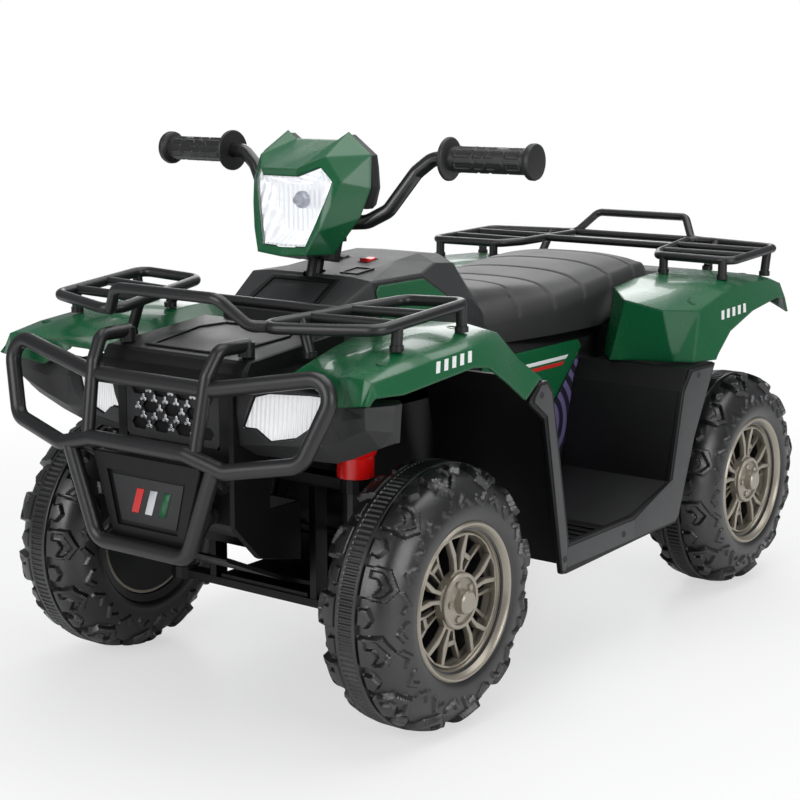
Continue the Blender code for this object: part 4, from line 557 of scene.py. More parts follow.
gloss_red = Finish("gloss_red_plastic", Coat_Weight=0.3, Coat_Roughness=0.06)
gloss_red.shades(30.0, (0.74, 0.004, 0.003), (0.82, 0.008, 0.006), 2.0)
gloss_red.blotches(40.0, 0.24, 0.32).grain(300.0, 0.00003, rounding=0.0006)
foot = Matrix.Translation((KINGPIN_X, front_axle_y, CAP_FOOT))
sleeve = joined([turned(CAP_PROFILE, 48, foot), plate(CAP_TAB, TAB_DEPTH, foot, rounding=0.0004)])
both_sides(("red_sleeve", sleeve, gloss_red, "red_plastic", "strut_cap"))
dress(gloss_red, "power_switch")

# Body panels: high-gloss green mouldings, with facets that meet in soft ridges.
# Mudguards, head mask, tank sides and side trims are all of it. Each mudguard's screws sit in rimmed pockets.
GUARDS = pair("front_fender", "rear_fender")
FRONT_GUARD = GUARDS[0]
REAR_GUARD = GUARDS[2]
SOFT_RIDGE = radians(33.0)
WELD = 0.00001
POCKETS = ((FRONT_GUARD, 0.2616, -0.455), (REAR_GUARD, 0.26, 0.245),
           (FRONT_GUARD, 0.235, -0.29), (REAR_GUARD, 0.225, 0.47))
POCKET_RING = ((0.005, 0.0006), (0.0066, 0.0006), (0.0074, -0.0004), (0.0074, -0.0012), (0.0042, -0.0012))
POCKET_SCREW = ((0.0, -0.0002), (0.0036, -0.0001), (0.0046, -0.0004), (0.0046, -0.0012), (0.0, -0.0012))
ABOVE_GUARDS = 0.7

gloss_green = Finish("gloss_green_plastic", Coat_Weight=0.3, Coat_Roughness=0.05, Specular_IOR_Level=0.42)
gloss_green.shades(9.0, (0.0045, 0.09, 0.03), (0.0065, 0.108, 0.038))
gloss_green.blotches(18.0, 0.22, 0.32).grain(120.0, 0.00002, rounding=0.005)
dress(gloss_green, "head_mask", *pair("tank_panel", "side_panel"), *GUARDS)


def soften(name):
    """Shade a CAD node round over its shallow ridges: only modifiers and shading, no vertex moves."""
    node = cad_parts[name]
    split = node.data.attributes.get("custom_normal")
    if split is not None:
        node.data.attributes.remove(split)
    node.data.shade_smooth()
    weld = node.modifiers.new("weld", "WELD")
    weld.merge_threshold = WELD
    ridges = node.modifiers.new("ridges", "EDGE_SPLIT")
    ridges.split_angle = SOFT_RIDGE
    ridges.use_edge_sharp = False


for name in GUARDS:
    soften(name)


def landing(node, start, direction):
    """Where a straight line first meets a node, and the surface's normal there."""
    skin = BVHTree.FromObject(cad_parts[node], bpy.context.evaluated_depsgraph_get())
    point, normal, _, _ = skin.ray_cast(Vector(start), Vector(direction))
    return point, normal


rings = []
heads = []
for node, x, y in POCKETS:
    point, normal = landing(node, (x, y, ABOVE_GUARDS), (0.0, 0.0, -1.0))
    place = frame_of(Y_AXIS, normal.cross(Vector(Y_AXIS)), point)
    if place[2][2] < 0.0:
        place = place @ Matrix.Rotation(pi, 4, "X")
    rings.append(turned(POCKET_RING, 20, place))
    heads.append(turned(POCKET_SCREW, 20, place))
both_sides(("pocket_rims", joined(rings), gloss_green, "gloss_green"),
           ("pocket_screws", joined(heads), pan_black, "satin_black"))

# Mudguard flashes: a short run of slanted white bars printed on each mudguard's outer face.
# They are thin film, laid on the green plastic.
FLASHES = ((FRONT_GUARD, -0.395, 0.43), (REAR_GUARD, 0.29, 0.408))
FLASH_COUNT = 5
FLASH_STEP = 0.015
FLASH_RISE = 0.06
FLASH_BAR = ((0.0, -0.0075), (0.007, -0.0075), (0.012, 0.0045), (0.005, 0.0045))
FILM_OUT = 0.0004
FILM_IN = 0.0003
BLOCK_FACES = [(0, 1, 2, 3), (7, 6, 5, 4), (0, 4, 5, 1), (1, 5, 6, 2), (2, 6, 7, 3), (3, 7, 4, 0)]
BESIDE_GUARDS = 0.5

film_white = Finish("white_film", Roughness=0.35, Base_Color=(0.78, 0.79, 0.78, 1.0))
film_white.grain(600.0, 0.00002)
bars = []
for node, y, z in FLASHES:
    for k in range(FLASH_COUNT):
        corners = []
        for along, up in FLASH_BAR:
            start = (BESIDE_GUARDS, y + FLASH_STEP * k + along, z + up + FLASH_RISE * FLASH_STEP * k)
            corners.append(landing(node, start, (-1.0, 0.0, 0.0)))
        vertices = [p + n * FILM_OUT for p, n in corners] + [p - n * FILM_IN for p, n in corners]
        bars.append((vertices, BLOCK_FACES))
both_sides(("guard_flashes", joined(bars), film_white, "lamp_silver"))

# Side prints: a dark violet printed film of plain nested rings on the centre body, under the green trim.
# Two bright stripes run along the trim itself.
BODY_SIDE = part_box("centre_body")[1][0]
TRIM_SIDE = BODY_SIDE + 0.0028
PRINT_SUNK = 0.0001
PRINT_PROUD = 0.0005
PRINT = ((0.01, 0.205), (0.13, 0.195), (0.156, 0.23), (0.198, 0.34), (0.185, 0.348), (0.125, 0.287),
         (0.085, 0.285), (0.01, 0.315))
PRINT_MIDDLE = (0.0, 0.105, 0.262)
STRIPE_HIGH = ((0.03, 0.348), (0.15, 0.348), (0.156, 0.353), (0.036, 0.353))
STRIPE_LOW = ((0.03, 0.34), (0.14, 0.34), (0.146, 0.345), (0.036, 0.345))


def film(outline, x):
    return plate(outline, (x - PRINT_SUNK, x + PRINT_PROUD), SIDE, rounding=0.0001)


violet_film = Finish("violet_film", Roughness=0.32, Coat_Weight=0.4)
from_middle = violet_film.node("ShaderNodeVectorMath", {"operation": "SUBTRACT"},
                               {0: violet_film.place(), 1: PRINT_MIDDLE})
rings = violet_film.node("ShaderNodeTexWave", {"wave_type": "RINGS", "rings_direction": "X"},
                         {"Vector": from_middle, "Scale": 16.0, "Distortion": 0.0}, output=1)
edge = violet_film.node("ShaderNodeValToRGB", {"stops": ((0.45, 0.0), (0.62, 1.0))}, {0: rings})
violet_film.tint(edge, (0.016, 0.014, 0.03), (0.13, 0.105, 0.23))
stripe_red = Finish("red_film", Roughness=0.35, Base_Color=(0.55, 0.02, 0.02, 1.0))
stripe_red.grain(600.0, 0.00002)
both_sides(("side_print", film(PRINT, BODY_SIDE), violet_film, "satin_black"),
           ("trim_stripe_high", film(STRIPE_HIGH, TRIM_SIDE), film_white, "lamp_silver"),
           ("trim_stripe_low", film(STRIPE_LOW, TRIM_SIDE), stripe_red, "red_plastic"))

# Bumper and racks: satin black plastic frames in the form of bent tube, each moulded in one.
# They are drawn as round runs that bury their ends in each other, with feet that stand on the mudguards.
TUBE_ROUNDNESS = 7
BEND_STEPS = 7
NEARLY_STRAIGHT = radians(174.0)
MOST_OF_LEG = 0.48


def bent(points, radius, closed):
    """A path with its corners turned into arcs."""
    corners = [Vector(p) for p in points]
    result = []
    count = len(corners)
    for i, corner in enumerate(corners):
        if not closed and i in (0, count - 1):
            result.append(corner)
            continue
        before = corners[i - 1] - corner
        after = corners[(i + 1) % count] - corner
        angle = before.angle(after)
        if angle > NEARLY_STRAIGHT:
            result.append(corner)
            continue
        reach = min(radius / tan(angle / 2.0), MOST_OF_LEG * before.length, MOST_OF_LEG * after.length)
        bend = reach * tan(angle / 2.0)
        inward = (before.normalized() + after.normalized()).normalized()
        centre = corner + inward * (bend / sin(angle / 2.0))
        first = corner + before.normalized() * reach - centre
        normal = first.cross(corner + after.normalized() * reach - centre).normalized()
        for k in range(BEND_STEPS + 1):
            result.append(centre + Matrix.Rotation((pi - angle) * k / BEND_STEPS, 3, normal) @ first)
    return result


def run(points, radius, bend=0.0, closed=False):
    """One tube: its path, with any bends turned in, its radius and whether it closes."""
    path = bent(points, bend, closed) if bend > 0.0 else [Vector(p) for p in points]
    return path, radius, closed


def tube_frame(name, runs, finish, replaced=(), body="chassis"):
    """Round tubes as one curve."""
    curve = bpy.data.curves.new(name, "CURVE")
    curve.dimensions = "3D"
    curve.bevel_depth = 1.0
    curve.bevel_resolution = TUBE_ROUNDNESS
    curve.use_fill_caps = True
    for path, radius, closed in runs:
        spline = curve.splines.new("POLY")
        spline.points.add(len(path) - 1)
        for point, place in zip(spline.points, path):
            point.co = (*place, 1.0)
            point.radius = radius
        spline.use_cyclic_u = closed
        spline.use_smooth = True
    curve.materials.append(finish.material)
    return declared(linked(name, curve), body, replaced)


def across(points):
    """A path that starts on one side and ends on its mirror."""
    return [Vector(p) for p in points] + [Vector((-p[0], p[1], p[2])) for p in reversed(points)]


def placed(points, sign, y=0.0):
    """A left-hand path set off along the car, or its mirror for the right side."""
    return [(sign * a, y + b, c) for a, b, c in points]


BUMPER_TUBE = 0.00925
BUMPER_BEND = 0.022
HOOD_BEND = 0.014
HOOD_TUBE = BUMPER_TUBE * 0.85
HOOD_FOOT_RADIUS = 0.0095
STAY_RADIUS = 0.006
STAY_PAD_RADIUS = 0.01
STAY_PAD_THICKNESS = 0.0065
STAY_START = 0.004
nose_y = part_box("front_bumper")[0][1] + BUMPER_TUBE
nose_face = front_axle_y - 0.1598
hood_foot = front_axle_y - 0.135
outer_loop = ((0.09, nose_y + 0.0205, 0.404), (0.258, nose_y + 0.044, 0.434), (0.22, nose_y + 0.02, 0.338),
              (0.127, nose_y + 0.002, 0.321), (0.073, nose_y, 0.334))
lower_loop = ((0.112, nose_y + 0.002, 0.3215), (0.071, nose_y + 0.001, 0.215))
hood_tube = ((0.084, nose_y + 0.003, 0.334), (0.088, nose_y + 0.019, 0.418), (0.092, nose_y + 0.036, 0.446),
             (0.093, hood_foot + 0.003, 0.446))
hood_post = ((0.093, hood_foot, 0.4336), (0.093, hood_foot, 0.45))
STAYS = (((0.078, 0.29), (0.098, 0.328)), ((0.06, 0.252), (0.072, 0.218)))
runs = [run(across(outer_loop), BUMPER_TUBE, BUMPER_BEND, True),
        run(across(lower_loop), BUMPER_TUBE, BUMPER_BEND)]
for sign in SIDES.values():
    runs.append(run(placed(hood_tube, sign), HOOD_TUBE, HOOD_BEND))
    runs.append(run(placed(hood_post, sign), HOOD_FOOT_RADIUS))
    for (x, z), (far_x, far_z) in STAYS:
        pad = ((x, nose_face, z), (x, nose_face - STAY_PAD_THICKNESS, z))
        stay = ((x, nose_face - STAY_START, z), (far_x, nose_y + 0.0015, far_z))
        runs += [run(placed(pad, sign), STAY_PAD_RADIUS), run(placed(stay, sign), STAY_RADIUS)]
tube_black = Finish("tube_black_plastic", Specular_IOR_Level=0.55)
tube_black.shades(20.0, (0.006, 0.006, 0.0064), (0.01, 0.01, 0.0106))
tube_black.blotches(26.0, 0.30, 0.40).grain(1000.0, 0.00012)
tube_frame("bumper_tubes", runs, tube_black, ["front_bumper"])

WING_BEND = 0.018
SLAT_SHARE = 0.85
CROSS_BAR_SHARE = 0.9
BACK_BAR_SHARE = 0.97
PROBES = 9
PROBE_REACH = 0.0085
FOOT_GAP = 0.0003
FOOT_RADIUS = 0.008
FOOT_HEIGHT = 0.0065
POST_START = 0.005
POST_RADIUS = 0.0065


def post_runs(nodes, posts, y, sign):
    """Each post's foot disc and its shank, from the highest surface under it."""
    made = []
    for foot_x, foot_y, top_x, top_y, top_z in posts:
        ground = 0.0
        for node in nodes:
            for k in range(PROBES):
                reach = PROBE_REACH if k else 0.0
                turn = k * FULL_TURN / 8.0
                spot = (foot_x + reach * cos(turn), y + foot_y + reach * sin(turn), 1.0)
                point, _ = landing(node, spot, (0.0, 0.0, -1.0))
                ground = max(ground, point.z if point else 0.0)
        ground += FOOT_GAP
        foot = ((foot_x, foot_y, ground), (foot_x, foot_y, ground + FOOT_HEIGHT))
        shank = ((foot_x, foot_y, ground + POST_START), (top_x, top_y, top_z))
        made += [run(placed(foot, sign, y), FOOT_RADIUS), run(placed(shank, sign, y), POST_RADIUS)]
    return made


def rack_sides(wing, slats, nodes, posts, y, tube):
    """Both wings of a rack, each a closed tube with slats across it and posts under it."""
    made = []
    for sign in SIDES.values():
        made.append(run(placed(wing, sign, y), tube, WING_BEND, True))
        made += [run(placed(slat, sign, y), tube * SLAT_SHARE) for slat in slats]
        made += post_runs(nodes, posts, y, sign)
    return made


FRONT_RACK_TUBE = 0.0067
y = front_axle_y
wing = ((0.108, -0.144, 0.468), (0.25, -0.099, 0.472), (0.258, 0.055, 0.486), (0.164, 0.063, 0.481))
slats = (((0.1435, -0.0125, 0.476), (0.2545, -0.0125, 0.4798)),
         ((0.1285, -0.0675, 0.4728), (0.2515, -0.0675, 0.4749)))
posts = ((0.25, -0.0675, 0.2515, -0.0675, 0.4745), (0.256, 0.0465, 0.2575, 0.044, 0.485),
         (0.14, -0.0825, 0.127, -0.08, 0.472), (0.162, 0.0075, 0.15, 0.012, 0.4775))
hoop = ((0.124, y - 0.13, 0.469), (0.108, y - 0.147, 0.47), (0.079, y - 0.165, 0.5))
runs = [run(across(hoop), FRONT_RACK_TUBE, 0.02),
        run(across([(-0.138, y - 0.0275, 0.4753)]), FRONT_RACK_TUBE * CROSS_BAR_SHARE)]
runs += rack_sides(wing, slats, [FRONT_GUARD], posts, y, FRONT_RACK_TUBE)
tube_frame("front_rack_tubes", runs, tube_black, ["front_rack"])

REAR_RACK_TUBE = 0.0061
y = rear_axle_y
hoop_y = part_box("rear_rack")[1][1] - REAR_RACK_TUBE
wing = ((0.1, 0.1565, 0.481), (0.14, 0.156, 0.4808), (0.255, 0.135, 0.48), (0.2625, -0.023, 0.4745),
        (0.14, -0.0155, 0.4745), (0.122, 0.0225, 0.4755))
slats = (((0.1198, 0.0375, 0.476), (0.258, 0.0375, 0.4764)),
         ((0.1098, 0.0975, 0.4785), (0.258, 0.0975, 0.4782)))
posts = ((0.248, -0.022, 0.248, -0.022, 0.4745), (0.15, -0.016, 0.15, -0.016, 0.4745),
         (0.253, 0.106, 0.2555, 0.108, 0.479), (0.15, 0.124, 0.15, 0.153, 0.4805))
hoop = ((0.124, y + 0.1565, 0.481), (0.104, y + 0.1575, 0.482), (0.079, hoop_y, 0.513))
runs = [run(across(hoop), REAR_RACK_TUBE, 0.014),
        run(across([(-0.128, y + 0.1565, 0.481)]), REAR_RACK_TUBE * BACK_BAR_SHARE),
        run(across([(-0.113, y + 0.0775, 0.4781)]), REAR_RACK_TUBE * CROSS_BAR_SHARE)]
runs += rack_sides(wing, slats, [REAR_GUARD, "rear_deck"], posts, y, REAR_RACK_TUBE)
tube_frame("rear_rack_tubes", runs, tube_black, ["rear_rack"])

# Nose: pierced grey grille with bright tri-lobe studs, and a bare framed panel on the hood.
# The guard plate behind the bumper's lower loop carries a bare panel with three slanted bars.
GRILLE_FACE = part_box("grille")[0][1]
STUD_LOBE = ((0.0019, -60.0), (0.0048, -24.0), (0.0055, 0.0), (0.0048, 24.0))
STUD_DEPTH = (0.0004, 0.0026)
STUD_PITCH = 0.01725
STUD_ROWS = ((0.345, (-2, 0, 2)), (0.3553, (-2.5, -1.5, -0.5, 0.5, 1.5, 2.5)), (0.3655, (-3, -1, 1, 3)),
             (0.3758, (-2.5, -1.5, -0.5, 0.5, 1.5, 2.5)), (0.386, (-2, 0, 2)))
HOOD_SLOPE = frame_of(X_AXIS, (0.0, 0.17, 0.0155), (0.0, front_axle_y - 0.1525, 0.4305))
HOOD_DEPTH = (-0.001, 0.0022)
PANEL_DEPTH = (-0.004, -0.0028)
BAR_DEPTH = (-0.003, -0.002)
SLANTED_BAR = ((0.0, 0.252), (0.011, 0.252), (0.021, 0.281), (0.01, 0.281))
FIRST_BAR = -0.026
BAR_PITCH = 0.021


def facing_front(y, x=0.0, z=0.0):
    return frame_of(X_AXIS, Z_AXIS, (x, y, z))


def symmetric(*half):
    """An outline from its right half: it starts with the first corner's mirror."""
    return [(-half[0][0], half[0][1]), *half, *[(-x, y) for x, y in half[:0:-1]]]


bright = Finish("bright_silver", Metallic=0.85, Base_Color=(0.62, 0.63, 0.65, 1.0))
bright.blotches(80.0, 0.18, 0.30).grain(500.0, 0.00002)
star = []
for arm in range(3):
    star += polar(STUD_LOBE, FULL_TURN / 4.0 + arm * FULL_TURN / 3.0)
studs = [plate(star, STUD_DEPTH, facing_front(GRILLE_FACE, column * STUD_PITCH, z))
         for z, columns in STUD_ROWS for column in columns]
piece("grille_studs", joined(studs), bright)
hood_rim = plate(symmetric((0.062, 0.015), (0.074, 0.115), (0.054, 0.148)), HOOD_DEPTH, HOOD_SLOPE,
                 [symmetric((0.054, 0.023), (0.065, 0.112), (0.049, 0.14))], rounding=0.0008)
piece("hood_frame", hood_rim, satin_black)
PLATE_PLACE = facing_front(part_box("bumper_plate")[0][1])
bare_panel = plate(symmetric((0.056, 0.293), (0.043, 0.24)), PANEL_DEPTH, PLATE_PLACE, rounding=0.0004)
piece("guard_plate_panel", bare_panel, textured_grey)
GUARD_BARS = (("guard_bar_red", stripe_red, "red_plastic"), ("guard_bar_silver", bright, "lamp_silver"),
              ("guard_bar_green", gloss_green, "gloss_green"))
for k, (name, finish, slot) in enumerate(GUARD_BARS):
    outline = outline_at(SLANTED_BAR, FIRST_BAR + BAR_PITCH * k)
    piece(name, plate(outline, BAR_DEPTH, PLATE_PLACE, rounding=0.0003), finish)

# Head: faceted green mask on the handlebar, with a clear cover over a fluted reflector with a painted glow,
# and its bulb.
# The mask and the reflector are CAD nodes, and the bulb stands off the reflector's floor.
BULB = ((0.0, 0.016), (0.004, 0.015), (0.0062, 0.011), (0.0066, 0.006), (0.01, 0.005), (0.0108, 0.002),
        (0.0108, -0.0004), (0.0, -0.0004))
BULB_PLACE = facing_front(front_axle_y + 0.068, 0.006, 0.59)


def fluted(finish, scale, depth):
    """Upright flutes pressed into a bright moulding."""
    wave = finish.node("ShaderNodeTexWave", {"bands_direction": "X"},
                       {"Vector": finish.place(), "Scale": scale, "Distortion": 0.0}, output=1)
    return finish.relief(wave, depth)


clear_cover = Finish("clear_cover", Base_Color=(0.95, 0.97, 1.0, 1.0), Alpha=0.16, Coat_Weight=1.0,
                     Coat_Roughness=0.02)
clear_cover.blotches(30.0, 0.02, 0.05)
dress(clear_cover, "head_lens")
# The reflector's emission is painted glow: it stands in for reflected studio light, and the bulb itself does
# not glow.
reflector_painted_glow = Finish("fluted_reflector_painted_glow", Metallic=0.7, Base_Color=(0.9, 0.91, 0.93, 1.0),
                       Emission_Color=(0.95, 0.97, 1.0, 1.0), Emission_Strength=0.42)
fluted(reflector_painted_glow, 42.0, 0.0024).blotches(12.0, 0.12, 0.22)
dress(reflector_painted_glow, "head_reflector")
bulb_smoke = Finish("bulb_smoke", Metallic=0.6, Base_Color=(0.16, 0.18, 0.24, 1.0))
bulb_smoke.blotches(60.0, 0.10, 0.22)
piece("head_bulb", turned(BULB, 28, BULB_PLACE), bulb_smoke, body="steering")

# Lower lamps: clear polygon mouldings over fluted inserts with a painted glow, one let into each cheek with a
# dark bezel.
# The bezel is a thin rolled edge that follows the lamp's outline.
LAMP_CORNER = Vector((0.0925, front_axle_y - 0.1455, 0.353))
LAMP_FACE = frame_of((0.075, 0.019, 0.005), (-0.005, 0.003, 0.045), LAMP_CORNER)
LAMP_OUTLINE = ((0.096, 0.355), (0.108, 0.391), (0.125, 0.396), (0.174, 0.3975), (0.199, 0.396),
                (0.181, 0.363), (0.16, 0.348), (0.13, 0.342), (0.112, 0.3545))
BEZEL_LIFT = 0.0004
BEZEL_RADIUS = 0.0016
BEZEL_BEND = 0.003

# The inserts' emission is painted glow that stands in for reflected studio light; the lamps are not lit.
lamp_painted_glow = Finish("fluted_lamp_painted_glow", Metallic=0.25, Base_Color=(0.84, 0.85, 0.87, 1.0), Coat_Weight=1.0,
                     Emission_Color=(1.0, 1.0, 1.0, 1.0), Emission_Strength=0.42)
fluted(lamp_painted_glow, 60.0, 0.0018).blotches(15.0, 0.08, 0.16)
dress(lamp_painted_glow, *pair("headlamp"))
lamp_normal = LAMP_FACE.to_3x3() @ Vector(Z_AXIS)
for side, sign in SIDES.items():
    edge_points = []
    for x, z in LAMP_OUTLINE:
        depth = ((x - LAMP_CORNER.x) * lamp_normal.x + (z - LAMP_CORNER.z) * lamp_normal.z) / lamp_normal.y
        edge_points.append(Vector((x, LAMP_CORNER.y - depth, z)) + lamp_normal * BEZEL_LIFT)
    bezel = run(placed(edge_points, sign), BEZEL_RADIUS, BEZEL_BEND, True)
    tube_frame(f"lamp_bezel_{side}", [bezel], satin_black)

# Dash: a framed bare panel faces forward on its slope, a shallow tray lies beside the switches,
# and a rim runs round both rocker pockets. All are moulded in the dash's own black.
DASH_SLOPE = frame_of(X_AXIS, (0.0, 0.0697, 0.0385), (0.0, front_axle_y + 0.0178, 0.46))
TRAY_PLACE = frame_of(X_AXIS, (0.0, 0.1025, 0.0105), (0.0, front_axle_y + 0.1, 0.4998))
FRAME_DEPTH = (-0.001, 0.0024)
INSET_DEPTH = (-0.0008, 0.0008)
TRAY_DEPTH = (-0.001, 0.0016)
SWITCH_X = 0.022
SWITCH_SETBACK = 0.1745
SWITCH_Z = 0.5069
SWITCH_HALF_WIDTH = 0.0085
SWITCH_HALF_LENGTH = 0.0118
SWITCH_TILT = 0.1024
SWITCH_RIM_RADIUS = 0.0011
SWITCH_RIM_BEND = 0.0015

dash_frame = plate(symmetric((0.056, 0.008), (0.052, 0.07)), FRAME_DEPTH, DASH_SLOPE,
                   [symmetric((0.048, 0.015), (0.045, 0.062))], rounding=0.0008)
piece("dash_panel_frame", dash_frame, satin_black)
dash_inset = plate(symmetric((0.047, 0.016), (0.044, 0.061)), INSET_DEPTH, DASH_SLOPE, rounding=0.0002)
piece("dash_panel", dash_inset, textured_grey)
tray = plate(oblong(0.036, 0.0, 0.064, 0.034), TRAY_DEPTH, TRAY_PLACE,
             [oblong(0.0385, 0.0025, 0.0615, 0.0315)], rounding=0.0006)
piece("dash_tray_rim", tray, satin_black)
runs = []
for x in (-SWITCH_X, SWITCH_X):
    corners = []
    for a, b in ((-1, -1), (1, -1), (1, 1), (-1, 1)):
        y = front_axle_y + SWITCH_SETBACK + b * SWITCH_HALF_LENGTH
        z = SWITCH_Z + (y - front_axle_y - SWITCH_SETBACK) * SWITCH_TILT
        corners.append((x + a * SWITCH_HALF_WIDTH, y, z))
    runs.append(run(corners, SWITCH_RIM_RADIUS, SWITCH_RIM_BEND, True))
tube_frame("switch_rims", runs, satin_black)

# Handlebar and grips: a bent satin tube, and rubber sleeves with stops and a raised pattern.
# Each grip pushes over the bar's end, and its pattern is plain angled outlines, six times round.
COLUMN_LEAN = radians(15.0)
COLUMN_FOOT_Y = 0.045
COLUMN_FOOT_Z = 0.2
CLAMP_SETBACK = 0.0308
CLAMP_Z = 0.56
BAR_Y = (front_axle_y + COLUMN_FOOT_Y - CLAMP_SETBACK * cos(COLUMN_LEAN)
         + (CLAMP_Z - COLUMN_FOOT_Z) * tan(COLUMN_LEAN))
BAR_PATH = ((0.033, BAR_Y, CLAMP_Z), (0.07, BAR_Y + 0.0005, 0.563), (0.095, BAR_Y + 0.01, 0.577),
            (0.128, BAR_Y + 0.0225, 0.624), (0.15, BAR_Y + 0.0265, 0.641), (0.289, BAR_Y + 0.033, 0.641))
BAR_RADIUS = 0.009
BAR_BEND = 0.022
GRIP_LENGTH = 0.122
GRIP_RADIUS = 0.015
GRIP_OVERHANG = 0.0032
GRIP_BORE = 0.0093
GRIP_END_WALL = 0.003
GRIP_FLANGE = ((GRIP_BORE, 0.0), (0.025, 0.0), (0.026, 0.0012), (0.0258, 0.0035), (0.0235, 0.0052),
               (0.016, 0.0058))
GRIP_STOP = ((0.02, 0.01), (0.0212, 0.0085), (0.0215, 0.004), (0.0205, 0.0014), (0.015, 0.0004), (0.0, 0.0))
GRIP_SINK = 0.0004
GRIP_STEPS = 96
GRIP_ROWS = 110
SLEEVE_START = 0.006
SLEEVE_STOP = 0.011
LINE_START = 0.004
GRIP_LINES = (((0.012, 0.002), (0.04, 0.002), (0.034, 0.012), (0.012, 0.012)),
              ((0.044, 0.002), (0.056, 0.002), (0.05, 0.012), (0.038, 0.012)),
              ((0.06, 0.002), (0.078, 0.002), (0.078, 0.007), (0.066, 0.007), (0.066, 0.012), (0.054, 0.012)),
              ((0.082, 0.002), (0.1, 0.002), (0.1, 0.012), (0.082, 0.012)))
LINE_REPEATS = 6.0
LINE_HEIGHT = 0.0014
LINE_FLANK = 0.001


def drawn_in(outline):
    """An outline drawn in towards its middle, more so across than along."""
    middle_a = np.mean([a for a, _ in outline])
    middle_b = np.mean([b for _, b in outline])
    return [(a * 0.9 + 0.1 * middle_a, b * 0.7 + 0.3 * middle_b) for a, b in outline]


def grip_shape():
    """The left grip: flange, patterned sleeve, rounded end stop, and the bore that the bar fills."""
    up = Vector(Z_AXIS)
    along = (Vector(BAR_PATH[-1]) - Vector(BAR_PATH[-2])).normalized()
    end = Vector(BAR_PATH[-1]) + along * GRIP_OVERHANG
    place = frame_of(up.cross(along), up, end - along * GRIP_LENGTH)
    turn = np.arange(GRIP_STEPS) / GRIP_STEPS * FULL_TURN
    around = (turn * GRIP_RADIUS) % (FULL_TURN * GRIP_RADIUS / LINE_REPEATS)
    rows = [(h, np.full(GRIP_STEPS, r)) for r, h in GRIP_FLANGE]
    for h in np.linspace(SLEEVE_START, GRIP_LENGTH - SLEEVE_STOP, GRIP_ROWS):
        height = np.zeros(GRIP_STEPS)
        spot = np.full(GRIP_STEPS, h - LINE_START)
        for line in GRIP_LINES:
            core = inside(drawn_in(line), spot, around, LINE_FLANK)
            height += LINE_HEIGHT * (inside(line, spot, around, LINE_FLANK) - core)
        rows.append((h, GRIP_RADIUS - GRIP_SINK + height))
    rows += [(GRIP_LENGTH - h, np.full(GRIP_STEPS, r)) for r, h in GRIP_STOP]
    rows += [(GRIP_LENGTH - GRIP_END_WALL, np.full(GRIP_STEPS, r)) for r in (0.0, GRIP_BORE)]
    vertices = [place @ Vector((radius[k] * cos(turn[k]), radius[k] * sin(turn[k]), h))
                for h, radius in rows for k in range(GRIP_STEPS)]
    return vertices, wrapped(len(rows), GRIP_STEPS)


bar_black = Finish("bar_gloss_black", Coat_Weight=0.6, Coat_Roughness=0.12)
bar_black.shades(25.0, (0.005, 0.005, 0.0053), (0.0075, 0.0075, 0.008), 2.0).blotches(30.0, 0.26, 0.36)
bar_run = run(across(BAR_PATH[::-1]), BAR_RADIUS, BAR_BEND)
tube_frame("bent_bar", [bar_run], bar_black, ["handlebar"], "steering")
grip_rubber = Finish("grip_rubber_black", Base_Color=(0.015, 0.015, 0.015, 1.0))
grip_rubber.blotches(70.0, 0.38, 0.52).grain(1200.0, 0.00012)
both_sides(("patterned_grip", grip_shape(), grip_rubber, "grip_rubber", "grip"), body="steering", crease=50.0)

# Seat: foam under matte black vinyl, crowned, drawn in at the sides, with curved channels pressed across it.
# It is screwed down from below, so its foot follows the body and the deck under it.
SEAT_FRONT = front_axle_y + 0.3248
SEAT_BACK = rear_axle_y + 0.0125
SEAT_LENGTH = SEAT_BACK - SEAT_FRONT
BODY_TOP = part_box("centre_body")[1][2]
SEAT_WIDTHS = ((0.0, 0.098), (0.09, 0.11), (0.21, 0.119), (0.35, 0.127), (0.5, 0.1305), (0.7, 0.131),
               (0.82, 0.129), (0.92, 0.124), (0.97, 0.115), (1.0, 0.098))
SEAT_CROWN = ((0.0, 0.454), (0.04, 0.4605), (0.21, 0.46), (0.35, 0.4575), (0.5, 0.462), (0.7, 0.47),
              (0.84, 0.4745), (0.92, 0.474), (0.97, 0.47), (1.0, 0.46))
SEAT_EDGE = ((0.0, 0.423), (0.1, 0.4265), (0.21, 0.43), (0.35, 0.434), (0.5, 0.441), (0.7, 0.451),
             (0.84, 0.456), (0.94, 0.457), (1.0, 0.453))
SEAT_FOOT = ((rear_axle_y - 0.145, BODY_TOP), (rear_axle_y - 0.0775, 0.3996), (rear_axle_y - 0.0225, 0.4246),
             (rear_axle_y + 0.0075, 0.4396), (rear_axle_y + 0.0205, 0.4455))
SEAT_GAP = 0.0006
SEAT_SHARES = (*np.linspace(0.0, 0.03, 5), *np.linspace(0.035, 0.965, 190), *np.linspace(0.97, 1.0, 6))
SEAT_STEP = 0.0038
SEAT_COLUMNS = 44
EASING_WINDOW = 0.012
SEAT_CHANNELS = (0.17, 0.34, 0.51, 0.68, 0.85)
CHANNEL_DEPTH = 0.0026
CHANNEL_WIDTH = 0.0024
CHANNEL_BOW = 0.026


def read(table, place):
    """A value from (place, value) pairs, eased between them."""
    places = [p for p, _ in table]
    values = [v for _, v in table]
    window = EASING_WINDOW * (places[-1] - places[0])
    return float(np.mean([np.interp(place + d * window, places, values) for d in (-2, -1, 0, 1, 2)]))


